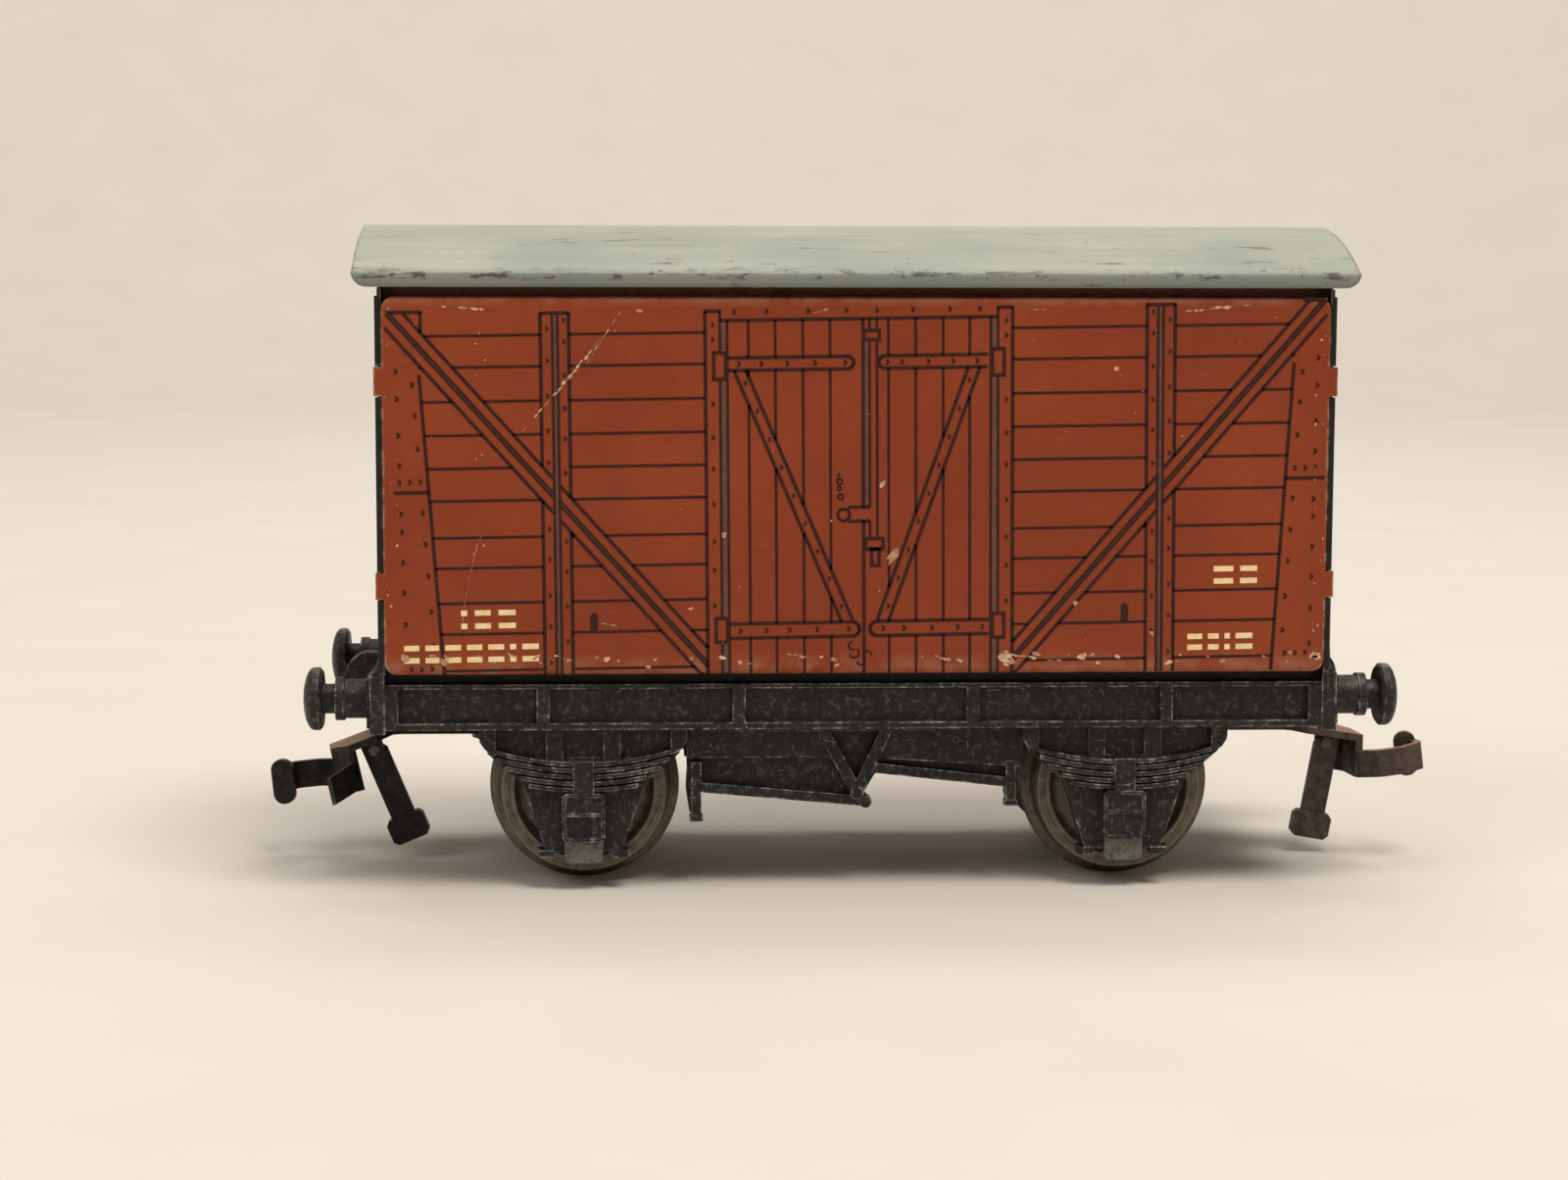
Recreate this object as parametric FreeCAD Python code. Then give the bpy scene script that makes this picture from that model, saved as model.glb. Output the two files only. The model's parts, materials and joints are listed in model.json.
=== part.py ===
import FreeCAD, Part
import math
import os

# Goods van for 16.5 mm gauge track: a tinplate body and roof on a die-cast underframe.
# Frame: X along the van, Y across it (-Y is the near side), Z up. The origin is under
# the middle of the van, at the lowest point of the wheel flanges. Units: millimetres.

V = FreeCAD.Vector

# ---- Driving dimensions ----
SHEET = 0.3                 # tinplate thickness
WHEELBASE = 40.0
AXLE_HEIGHT = 7.1
BODY_LENGTH = 68.6
BODY_WIDTH = 29.8
BODY_BOTTOM = 16.36
BODY_TOP = 43.78
ROOF_LENGTH = 72.75
ROOF_WIDTH = 30.8
ROOF_CROWN = 48.82
FASCIA_TOP = 45.4
FASCIA_BOTTOM = 44.42

# Body panels
PANEL_BEND = 0.5            # outside radius of the folded edges
PANEL_CORNER = 1.0          # rounded corners of a side panel, seen from the side
TOP_FLANGE = 2.5
TOP_LIP = 45.5              # the top fold's inner edge is turned up to here, under the roof
BOTTOM_FLANGE = 3.5
FOLD_TAB_LEVELS = ((21.9, 23.8), (36.6, 38.7))     # side tabs folded over the ends
FOLD_TAB_REACH = 1.7
FLOOR_TAB_STATIONS = (-29.0, -6.0, 6.0, 29.0)      # side tabs through the deck
FLOOR_TAB_WIDTH = 2.6
FLOOR_TAB_REACH = 1.4
SLOT_CLEARANCE = 0.08
END_RIM = 0.5               # how far the rolled rim of an end stands proud
END_RIM_WIDTH = 0.85
END_RIM_GAP = 0.1
ROOF_SEAT_GAP = 0.03        # roof to the arched top of an end
ROOF_LIP = 1.0              # depth of the folded lip at each roof end
ROOF_RETURN = 1.2           # width of the folded-in fascia edge
ROOF_CORNER = 1.1
FASCIA_BEND = 0.45

# Underframe casting
DECK_BOTTOM = 15.3
DECK_STEP_HALF = 13.0       # the body sits on this step, above a shadow gap
SOLEBAR_TOP = 15.55
SOLEBAR_BOTTOM = 12.17
SOLEBAR_FACE = 14.0
SOLEBAR_WEB = 13.4
SOLEBAR_BACK = 12.4
SOLEBAR_FLANGE = 0.35
SOLEBAR_LIP = 0.5
SOLEBAR_END = 33.45         # where the recess in the web stops
RIB_STATIONS = (-22.9, -8.6, 8.6, 22.9)
RIB_WIDTH = 0.95
HEADSTOCK_IN = 34.4
HEADSTOCK_OUT = 35.5
HEADSTOCK_HALF = 14.2
HEADSTOCK_TOP = 16.2
HEADSTOCK_BOTTOM = 11.9
HEADSTOCK_MIDDLE = 11.0     # deeper in the middle, over the coupling
HOOK_PLATE_OUT = 38.5
HOOK_PLATE_LOW = 12.4
LUG_IN = 34.7
LUG_HEIGHT = 1.0
LUG_LEVELS = (10.9, 13.6)   # distance of a lug's sides from the middle

# Buffers
BUFFER_SPREAD = 11.4
BUFFER_HEIGHT = 14.2
BUFFER_TIP = 40.53
BUFFER_HEAD_RADIUS = 2.32
BUFFER_HEAD_BACK = 39.1
BUFFER_HEAD_RIM = 39.75
BUFFER_SHANK_RADIUS = 1.1
BUFFER_COLLAR = (37.5, 38.15, 1.6)
BUFFER_HOUSING_RADIUS = 1.45

# Axle guards, springs and axle boxes, one set at each wheel
GUARD_BACK = 10.9
GUARD_FACE = 12.6
SPRING_FACE = 13.3
GUARD_LEG = 1.3             # width of the two upright legs above the spring
GUARD_LEG_STATION = 2.1
HANGER_HALF = 7.65          # outer faces of the spring hangers, from the axle
LEAF_THICKNESS = 0.33
LEAF_PITCH = 0.48
LEAF_HALVES = (7.0, 6.3, 5.7, 4.6, 4.0)
LEAF_TOP = 9.65
LEAF_RISE = 1.1
BUCKLE_HALF = 0.78
BOX_WIDTH = 3.13
BOX_RIM = 0.28              # raised border round an axle box cover
BOX_RIM_HEIGHT = 0.15
BOX_BOTTOM = 3.74
KEEP_WIDTH = 2.8
KEEP_BOTTOM = 2.08

# Brake gear, cast with the frame
SKIRT_BACK = 10.6
SKIRT_FACE = 11.2
BAND_FACE = 11.8            # upper, thicker part of the skirt
BRAKE_FACE = 12.1
SHOE_BACK = -9.3
BRAKE_PIVOT = (0.2, 7.1)    # x, z of the foot of the V hanger
BRAKE_KNOB = (0.85, 6.4)

# Wheels and axles
AXLE_RADIUS = 1.0
JOURNAL_RADIUS = 0.75
JOURNAL_CLEARANCE = 0.05
AXLE_END = 12.3
BORE_END = 12.5
JOURNAL_START = 10.55
FLANGE_RADIUS = 7.1
TREAD_RADIUS = 6.3
WHEEL_BACK = 7.0
WHEEL_FACE = 10.2
RIM_RADIUS = 5.2
WEB_FACE = 9.45
HUB_RADIUS = 1.9
HUB_FACE = 10.4

# Couplings
STRIP = 0.55                # coupling strip thickness
RIVET_STATION = 26.8
RIVET_RADIUS = 1.0
RIVET_HEAD_RADIUS = 1.6
RIVET_HEAD_HEIGHT = 0.7
RIVET_TOP = 14.6
BOSS_RADIUS = 2.8
BOSS_BOTTOM = 10.6
TAIL_TOP = 10.5
TAIL_END = 23.7
TAIL_CHAMFER = 0.7
TAIL_HALF = 1.6
HEAD_HALF = 2.6
SLOPE_START = 34.8
TAIL_SLOPE = 8.5            # degrees down, from the headstock outwards
WASHER = (2.0, 0.3)         # radius, thickness
PIVOT_CLEARANCE = 0.05
FRONT = 40.0                # front plate, on the side the hook arm leaves it
FRONT_KNEE = (0.4, 0.35)    # y where the plate turns back, and its set back there
FRONT_SKEW = 2.0            # how much further back the other side of the plate is
FRONT_BEND = 0.5
ARM_LOW = 6.35
ARM_HIGH = 8.45
ARM_RISE = 7.0              # degrees the arm rises towards its tip
HEAD_WIDTH = 1.7
HEAD_HEIGHT = 3.5
# The two couplings are the same pressing, but the left strip has been bent down further.
DROOP = {"left": 12.5, "right": 0.0}       # degrees

# Droppers: the pendulums under the couplings
DROPPER_SET_BACK = {"left": 3.4, "right": 2.05}     # pivot behind the front plate
DROPPER_DROP = 0.75         # pivot below the strip
DROPPER_LEAN = 10.0
DROPPER_HALF = 0.95
DROPPER_THICKNESS = 0.5
DROPPER_LENGTH = 7.65
FOOT_HALF = 1.5
FOOT_START = 5.6
FOOT_THICKNESS = 1.0        # the foot is folded double
HEEL = 0.7
EAR_RADIUS = 0.75
PIN_RADIUS = 0.3
PIN_HEAD_RADIUS = 0.5
PIN_HEAD_HEIGHT = 0.08
LUG_GAP = 0.1

# Worked out from the above
HALF_WIDTH = BODY_WIDTH / 2
HALF_LENGTH = BODY_LENGTH / 2
ROOF_HALF = ROOF_WIDTH / 2
ROOF_SAGITTA = ROOF_CROWN - FASCIA_TOP
ROOF_RADIUS = (ROOF_HALF ** 2 + ROOF_SAGITTA ** 2) / (2 * ROOF_SAGITTA)
ROOF_CENTRE = ROOF_CROWN - ROOF_RADIUS


# ---- Building blocks ----
def box(x0, x1, y0, y1, z0, z1):
    """Box between two corners."""
    return Part.makeBox(x1 - x0, y1 - y0, z1 - z0, V(x0, y0, z0))


def fuse(shapes):
    """One clean solid from overlapping shapes."""
    return shapes[0].multiFuse(shapes[1:]).removeSplitter()


def prism_y(points, y0, y1):
    """Polygon of (x, z) points, extruded across the van."""
    face = Part.Face(Part.makePolygon([V(x, y0, z) for x, z in points + points[:1]]))
    return face.extrude(V(0, y1 - y0, 0))


def prism_x(points, x0, x1):
    """Polygon of (y, z) points, extruded along the van."""
    face = Part.Face(Part.makePolygon([V(x0, y, z) for y, z in points + points[:1]]))
    return face.extrude(V(x1 - x0, 0, 0))


def prism_z(points, z0, z1):
    """Polygon of (x, y) points, extruded upwards."""
    face = Part.Face(Part.makePolygon([V(x, y, z0) for x, y in points + points[:1]]))
    return face.extrude(V(0, 0, z1 - z0))


def cylinder_x(radius, x0, x1, y, z):
    return Part.makeCylinder(radius, x1 - x0, V(x0, y, z), V(1, 0, 0))


def cylinder_y(radius, y0, y1, x, z):
    return Part.makeCylinder(radius, y1 - y0, V(x, y0, z), V(0, 1, 0))


def cylinder_z(radius, z0, z1, x, y):
    return Part.makeCylinder(radius, z1 - z0, V(x, y, z0))


def rounded_block(a0, a1, b0, b1, radius, low, high, axis):
    """Block with a rounded rectangle (a, b) as its section and the named axis through it."""
    places = {"x": lambda a, b: V(low, a, b), "y": lambda a, b: V(a, low, b), "z": lambda a, b: V(a, b, low)}
    place = places[axis]
    corners = ((a1 - radius, b1 - radius, 0), (a0 + radius, b1 - radius, 90),
               (a0 + radius, b0 + radius, 180), (a1 - radius, b0 + radius, 270))
    edges = []
    ends = []
    for a, b, start in corners:
        turn = [math.radians(start + step) for step in (0, 45, 90)]
        arc = [place(a + radius * math.cos(t), b + radius * math.sin(t)) for t in turn]
        edges.append(Part.Arc(*arc).toShape())
        ends.append((arc[0], arc[2]))
    for this, following in zip(ends, ends[1:] + ends[:1]):
        edges.append(Part.makeLine(this[1], following[0]))
    direction = {"x": V(1, 0, 0), "y": V(0, 1, 0), "z": V(0, 0, 1)}[axis]
    face = Part.Face(Part.Wire(Part.__sortEdges__(edges)))
    return face.extrude(direction * (high - low))


def half_turn(shape):
    """The same shape turned half round the van's vertical axis."""
    return shape.rotated(V(0, 0, 0), V(0, 0, 1), 180)


def mirror_x(shape):
    return shape.mirror(V(0, 0, 0), V(1, 0, 0))


def lathe(profile, origin, axis, outward):
    """Solid of revolution from (distance along the axis, radius) points."""
    points = [origin + axis * along + outward * radius for along, radius in profile]
    face = Part.Face(Part.makePolygon(points + points[:1]))
    return face.revolve(origin, axis, 360)


def offset_side(points, side, bend):
    """Edges of one side of a bent strip whose centre line turns with the given radius."""
    edges = []
    last = None
    for index, here in enumerate(points):
        before = (here - points[index - 1]).normalize() if index else None
        after = (points[index + 1] - here).normalize() if index < len(points) - 1 else None
        if before is None or after is None:
            direction = after or before
            stops = [here + V(-direction.y, direction.x, 0) * side]
        else:
            turn = math.atan2(before.cross(after).z, before.dot(after))
            reach = bend * math.tan(abs(turn) / 2)
            hand = math.copysign(1, turn)
            start = here - before * reach
            centre = start + V(-before.y, before.x, 0) * bend * hand
            middle = (here - centre).normalize() * (bend - side * hand)
            stops = [start + V(-before.y, before.x, 0) * side, centre + middle,
                     here + after * reach + V(-after.y, after.x, 0) * side]
        if last is not None:
            edges.append(Part.makeLine(last, stops[0]))
        if len(stops) == 3:
            edges.append(Part.Arc(*stops).toShape())
        last = stops[-1]
    return edges


def bent_strip(points, thickness, bend, low, high):
    """Strip on edge: (x, y) centre line, given thickness, standing from low to high."""
    path = [V(x, y, 0) for x, y in points]
    left = offset_side(path, thickness / 2, bend)
    right = offset_side(path, -thickness / 2, bend)
    caps = [Part.makeLine(left[0].firstVertex().Point, right[0].firstVertex().Point),
            Part.makeLine(left[-1].lastVertex().Point, right[-1].lastVertex().Point)]
    wire = Part.Wire(Part.__sortEdges__(left + right + caps))
    strip = Part.Face(wire).extrude(V(0, 0, high - low))
    return strip.translated(V(0, 0, low))


def laid_down(shape):
    """Turns a strip made in plan into one seen from the side, keeping x and making y into z."""
    return shape.rotated(V(0, 0, 0), V(1, 0, 0), 90)


# ---- Underframe casting ----
def deck():
    """Flat deck, with the raised step that the body sits round."""
    plate = box(-HEADSTOCK_OUT, HEADSTOCK_OUT, -SOLEBAR_WEB, SOLEBAR_WEB, DECK_BOTTOM, SOLEBAR_TOP)
    step = box(-HEADSTOCK_IN, HEADSTOCK_IN, -DECK_STEP_HALF, DECK_STEP_HALF, SOLEBAR_TOP, BODY_BOTTOM)
    return [plate, step]


def solebar():
    """Channel-section side member on the near side, with its upright ribs."""
    end, face, web = HEADSTOCK_OUT, -SOLEBAR_FACE, -SOLEBAR_WEB
    pieces = [
        box(-end, end, web, -SOLEBAR_BACK, SOLEBAR_BOTTOM, SOLEBAR_TOP),
        box(-end, end, face, web, SOLEBAR_TOP - SOLEBAR_FLANGE, SOLEBAR_TOP),
        box(-end, end, face, web, SOLEBAR_BOTTOM, SOLEBAR_BOTTOM + SOLEBAR_LIP),
    ]
    for x in RIB_STATIONS:
        pieces.append(box(x - RIB_WIDTH / 2, x + RIB_WIDTH / 2, -SOLEBAR_FACE, -SOLEBAR_WEB,
                          SOLEBAR_BOTTOM, SOLEBAR_TOP))
    for side in (-1, 1):
        near, far = sorted((side * SOLEBAR_END, side * HEADSTOCK_OUT))
        pieces.append(box(near, far, -SOLEBAR_FACE, -SOLEBAR_BACK, SOLEBAR_BOTTOM, SOLEBAR_TOP))
    return pieces


def headstock():
    """Cross member at the right end, with its drawhook plate and the lugs beside the body."""
    inner, outer = HEADSTOCK_IN, HEADSTOCK_OUT
    beam = box(inner, outer, -HEADSTOCK_HALF, HEADSTOCK_HALF, HEADSTOCK_BOTTOM, HEADSTOCK_TOP)
    dip = HEADSTOCK_BOTTOM + 0.1
    middle = prism_x([(-4.2, dip), (-3.2, HEADSTOCK_MIDDLE), (3.2, HEADSTOCK_MIDDLE), (4.2, dip)],
                     inner, outer)
    hook_disc = rounded_block(inner, HOOK_PLATE_OUT, 8.2, HEADSTOCK_TOP, 2.0, -0.6, 0.6, "y")
    hook_plate = hook_disc.common(box(inner, HOOK_PLATE_OUT, -0.6, 0.6, HOOK_PLATE_LOW, HEADSTOCK_TOP))
    pieces = [beam, middle, hook_plate]
    top = HEADSTOCK_TOP
    lug_profile = [(LUG_IN, top - 0.2), (outer, top - 0.2), (outer - 0.3, top + 0.4),
                   (outer - 0.5, top + LUG_HEIGHT), (LUG_IN, top + LUG_HEIGHT)]
    for side in (-1, 1):
        near, far = sorted(side * level for level in LUG_LEVELS)
        pieces.append(prism_y(lug_profile, near, far))
        pieces.append(buffer(side * BUFFER_SPREAD))
        y = side * BUFFER_SPREAD
        half = BUFFER_HOUSING_RADIUS + 0.5
        pieces.append(box(outer - 0.1, outer + 0.3, y - half, y + half,
                          BUFFER_HEIGHT - half, BUFFER_HEIGHT + 1.7))
    return pieces


def buffer(y):
    """Turned shape of one buffer: housing, collar, shank and domed head."""
    collar_in, collar_out, collar_radius = BUFFER_COLLAR
    dome = [(BUFFER_HEAD_RIM + (BUFFER_TIP - BUFFER_HEAD_RIM) * math.sin(t),
             BUFFER_HEAD_RADIUS * math.cos(t)) for t in [math.radians(step * 15) for step in range(7)]]
    profile = [(HEADSTOCK_OUT - 0.2, 0), (HEADSTOCK_OUT - 0.2, BUFFER_HOUSING_RADIUS),
               (collar_in, BUFFER_HOUSING_RADIUS), (collar_in, collar_radius), (collar_out, collar_radius),
               (collar_out, BUFFER_SHANK_RADIUS), (BUFFER_HEAD_BACK, BUFFER_SHANK_RADIUS),
               (BUFFER_HEAD_BACK, BUFFER_HEAD_RADIUS - 0.25), (BUFFER_HEAD_BACK + 0.2, BUFFER_HEAD_RADIUS)]
    return lathe(profile + dome, V(0, y, BUFFER_HEIGHT), V(1, 0, 0), V(0, 0, 1))


def leaf(x, half, z):
    """One spring leaf: level in the middle and curving up to its ends."""
    radius = LEAF_HALVES[0] ** 2 / (2 * LEAF_RISE)
    rise = half ** 2 / (2 * radius)
    low = Part.Arc(V(x - half, 0, z - LEAF_THICKNESS + rise), V(x, 0, z - LEAF_THICKNESS),
                   V(x + half, 0, z - LEAF_THICKNESS + rise)).toShape()
    high = Part.Arc(V(x - half, 0, z + rise), V(x, 0, z), V(x + half, 0, z + rise)).toShape()
    ends = [Part.makeLine(low.Vertexes[end].Point, high.Vertexes[end].Point) for end in (0, 1)]
    face = Part.Face(Part.Wire(Part.__sortEdges__([low, high] + ends)))
    return face.extrude(V(0, SPRING_FACE - GUARD_FACE + 0.2, 0)).translated(V(0, -SPRING_FACE, 0))


def axle_guard(x):
    """W-shaped axle guard with its spring, hangers, axle box and keep, centred on x."""
    under = SOLEBAR_BOTTOM + 0.2
    half_plate = [(HANGER_HALF - 0.2, under), (HANGER_HALF - 0.6, 10.2), (6.0, 9.3), (4.45, 7.9), (4.1, 6.8),
                  (2.8, 2.85)]
    pieces = [prism_y(both_sides(x, half_plate), -GUARD_FACE, -GUARD_BACK)]
    for index, half in enumerate(LEAF_HALVES):
        pieces.append(leaf(x, half, LEAF_TOP - index * LEAF_PITCH))
    between_leaves = [(6.5, 10.0), (5.5, 8.9), (3.6, 7.7)]
    pieces.append(prism_y(both_sides(x, between_leaves), -GUARD_FACE - 0.25, -GUARD_FACE + 0.1))
    for side in (-1, 1):
        leg = x + side * GUARD_LEG_STATION
        pieces.append(box(leg - GUARD_LEG / 2, leg + GUARD_LEG / 2, -GUARD_FACE - 0.4, -GUARD_FACE + 0.1,
                          LEAF_TOP - 0.5, under))
        hanger = [(HANGER_HALF, under), (HANGER_HALF - 0.05, 11.2), (HANGER_HALF - 0.45, 10.6),
                  (HANGER_HALF - 1.25, 10.2), (HANGER_HALF - 1.25, under)]
        pieces.append(prism_y([(x + side * a, z) for a, z in hanger], -SPRING_FACE, -SOLEBAR_BACK))
        foot = sorted((x + side * 2.1, x + side * 3.35))
        pieces.append(box(foot[0], foot[1], -GUARD_FACE - 0.15, -GUARD_BACK - 0.3, 2.45, 3.0))
    pieces.append(box(x - BUCKLE_HALF, x + BUCKLE_HALF, -SPRING_FACE - 0.15, -GUARD_FACE + 0.1,
                      AXLE_HEIGHT + 0.1, LEAF_TOP + 0.1))
    return pieces + axle_box(x)


def both_sides(x, half_outline):
    """Symmetric (x, z) outline about the given station, from its right-hand half."""
    return [(x + a, z) for a, z in half_outline] + [(x - a, z) for a, z in reversed(half_outline)]


def axle_box(x):
    """Axle box with a raised border and a rib across its cover, and the keep under it."""
    half, low, high = BOX_WIDTH / 2, BOX_BOTTOM, AXLE_HEIGHT + 0.25
    cover = -SPRING_FACE - 0.1
    border = cover - BOX_RIM_HEIGHT
    block = rounded_block(x - half, x + half, low, high, 0.4, border, -GUARD_FACE + 0.1, "y")
    sunk = rounded_block(x - half + BOX_RIM, x + half - BOX_RIM, low + BOX_RIM, high - BOX_RIM, 0.2,
                         border - 1, cover, "y")
    rib = box(x - half + 0.1, x + half - 0.1, border, cover + 0.1, 5.65, 5.9)
    keep = rounded_block(x - KEEP_WIDTH / 2, x + KEEP_WIDTH / 2, KEEP_BOTTOM, low + 0.5, 0.45,
                         -SPRING_FACE + 0.15, -GUARD_FACE + 0.6, "y")
    return [block.cut(sunk), rib, keep]


def bar(start, end, width, y0, y1):
    """Flat bar between two (x, z) points."""
    run = V(end[0] - start[0], 0, end[1] - start[1])
    across = V(-run.z, 0, run.x).normalize() * (width / 2)
    corners = [V(start[0], 0, start[1]) + across, V(end[0], 0, end[1]) + across,
               V(end[0], 0, end[1]) - across, V(start[0], 0, start[1]) - across]
    return prism_y([(corner.x, corner.z) for corner in corners], y0, y1)


def brake_skirt():
    """Apron below the solebar that the brake gear is cast on, with thicker upper bands."""
    top = SOLEBAR_BOTTOM + 0.2
    apron = [(-12.4, top), (-12.4, 9.0), (-11.6, 8.6), (-11.3, 7.4), (0.3, 6.2), (1.7, 8.5), (11.6, 7.5),
             (12.4, 8.6), (12.4, top)]
    left_band = [(-12.4, top), (-12.4, 9.7), (-1.4, 9.7), (-2.3, top)]
    right_band = [(12.4, top), (12.4, 8.9), (1.7, 9.6), (2.4, top)]
    rail = box(-12.4, 12.4, -SOLEBAR_BACK - 0.1, -SKIRT_BACK, top - 0.6, top)
    return [prism_y(apron, -SKIRT_FACE, -SKIRT_BACK), prism_y(left_band, -BAND_FACE, -SKIRT_BACK),
            prism_y(right_band, -BAND_FACE, -SKIRT_BACK), rail]


def brake_gear():
    """V hanger, push rods, brake hangers and blocks on the near side, in front of the apron."""
    face, back = -BRAKE_FACE, -SKIRT_FACE + 0.1
    top = SOLEBAR_BOTTOM + 0.1
    pieces = brake_skirt()
    pieces.append(bar((-2.6, top), BRAKE_PIVOT, 0.85, face, back))
    pieces.append(bar((2.6, top), BRAKE_PIVOT, 0.85, face, back))
    pieces.append(cylinder_y(0.5, face - 0.2, back, BRAKE_PIVOT[0], BRAKE_PIVOT[1]))
    pieces.append(cylinder_y(0.45, face - 0.1, back, BRAKE_KNOB[0], BRAKE_KNOB[1]))
    pieces.append(bar(BRAKE_PIVOT, BRAKE_KNOB, 0.8, face + 0.1, back))
    pieces.append(bar((-11.4, 7.5), BRAKE_KNOB, 0.75, face + 0.2, back))
    pieces.append(bar((1.0, 8.95), (11.7, 7.75), 0.75, face + 0.2, back))
    for side, low in ((-1, 4.95), (1, 6.0)):
        station = side * 11.7
        pieces.append(bar((station, 9.4), (station, low), 0.75, face + 0.2, back + 0.3))
        pieces.append(box(station - 0.5, station + 0.5, face + 0.1, back, low, low + 0.45))
        shoe = [(11.4, 9.0), (12.35, 9.0), (12.45, 7.2), (12.2, low + 0.6), (11.4, low + 0.6)]
        pieces.append(prism_y([(side * a, z) for a, z in shoe], -SKIRT_FACE, SHOE_BACK))
    return pieces


def coupling_boss():
    """Round boss under the deck that the right coupling is riveted to."""
    boss = cylinder_z(BOSS_RADIUS, BOSS_BOTTOM, DECK_BOTTOM + 0.2, RIVET_STATION, 0)
    gusset = box(RIVET_STATION, HEADSTOCK_IN + 0.1, -1.2, 1.2, BOSS_BOTTOM + 0.6, DECK_BOTTOM + 0.1)
    return [boss, gusset]


def underframe_casting():
    near_side = solebar() + brake_gear()
    for x in (-WHEELBASE / 2, WHEELBASE / 2):
        near_side += axle_guard(x)
    right_end = headstock() + coupling_boss()
    halves = near_side + right_end
    casting = fuse(deck() + halves + [half_turn(piece) for piece in halves])
    cuts = []
    for x in (-WHEELBASE / 2, WHEELBASE / 2):
        for y in (-BORE_END, GUARD_BACK):
            cuts.append(cylinder_y(JOURNAL_RADIUS + JOURNAL_CLEARANCE, y, y + BORE_END - GUARD_BACK,
                                   x, AXLE_HEIGHT))
        cuts.append(cylinder_z(RIVET_RADIUS, BOSS_BOTTOM - 0.1, RIVET_TOP + 0.2,
                               math.copysign(RIVET_STATION, x), 0))
    for x in FLOOR_TAB_STATIONS:
        half = FLOOR_TAB_WIDTH / 2 + SLOT_CLEARANCE
        inner = HALF_WIDTH - BOTTOM_FLANGE
        for side in (-1, 1):
            low, high = sorted((side * (inner - SLOT_CLEARANCE), side * (inner + SHEET + SLOT_CLEARANCE)))
            cuts.append(box(x - half, x + half, low, high, DECK_BOTTOM - 1, BODY_BOTTOM + 1))
    return casting.cut(cuts)


# ---- Tinplate body ----
def side_section():
    """Channel section of the near side panel, with rounded folds, extruded along the van."""
    outer = rounded_block(-HALF_WIDTH, HALF_WIDTH, BODY_BOTTOM, BODY_TOP, PANEL_BEND,
                          -HALF_LENGTH, HALF_LENGTH, "x")
    inner = rounded_block(-HALF_WIDTH + SHEET, HALF_WIDTH, BODY_BOTTOM + SHEET, BODY_TOP - SHEET,
                          PANEL_BEND - SHEET, -HALF_LENGTH, HALF_LENGTH, "x")
    middle = BODY_BOTTOM + 10
    flange_edge = -HALF_WIDTH + TOP_FLANGE
    floor_edge = -HALF_WIDTH + BOTTOM_FLANGE
    keep_top = box(-HALF_LENGTH, HALF_LENGTH, -HALF_WIDTH, flange_edge, middle, BODY_TOP)
    keep_bottom = box(-HALF_LENGTH, HALF_LENGTH, -HALF_WIDTH, floor_edge, BODY_BOTTOM, middle)
    return outer.cut(inner).common(fuse([keep_top, keep_bottom]))


def body_side():
    """Near side panel: folded top and bottom, tabs round the ends and through the deck."""
    outline = rounded_block(-HALF_LENGTH, HALF_LENGTH, BODY_BOTTOM, BODY_TOP, PANEL_CORNER,
                            -HALF_WIDTH, 0, "y")
    turned = -HALF_WIDTH + TOP_FLANGE
    lip = box(-HALF_LENGTH, HALF_LENGTH, turned - SHEET, turned, BODY_TOP - SHEET, TOP_LIP)
    pieces = [side_section().common(outline), lip]
    for side in (-1, 1):
        for low, high in FOLD_TAB_LEVELS:
            wrap = box(HALF_LENGTH - 1, HALF_LENGTH + 2 * SHEET, -HALF_WIDTH,
                       -HALF_WIDTH + SHEET, low, high)
            hold = box(HALF_LENGTH + SHEET, HALF_LENGTH + 2 * SHEET, -HALF_WIDTH,
                       -HALF_WIDTH + FOLD_TAB_REACH, low, high)
            pieces += [wrap, hold] if side > 0 else [mirror_x(wrap), mirror_x(hold)]
    edge = -HALF_WIDTH + BOTTOM_FLANGE
    for x in FLOOR_TAB_STATIONS:
        left, right = x - FLOOR_TAB_WIDTH / 2, x + FLOOR_TAB_WIDTH / 2
        pieces.append(box(left, right, edge - SHEET, edge, DECK_BOTTOM - SHEET, BODY_BOTTOM + SHEET))
        pieces.append(box(left, right, edge - SHEET, edge + FLOOR_TAB_REACH,
                          DECK_BOTTOM - SHEET, DECK_BOTTOM))
    return fuse(pieces)


def roof_arc_region(radius, x0, x1):
    """Everything under a roof-shaped arc of the given radius."""
    return cylinder_x(radius, x0, x1, 0, ROOF_CENTRE)


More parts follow.
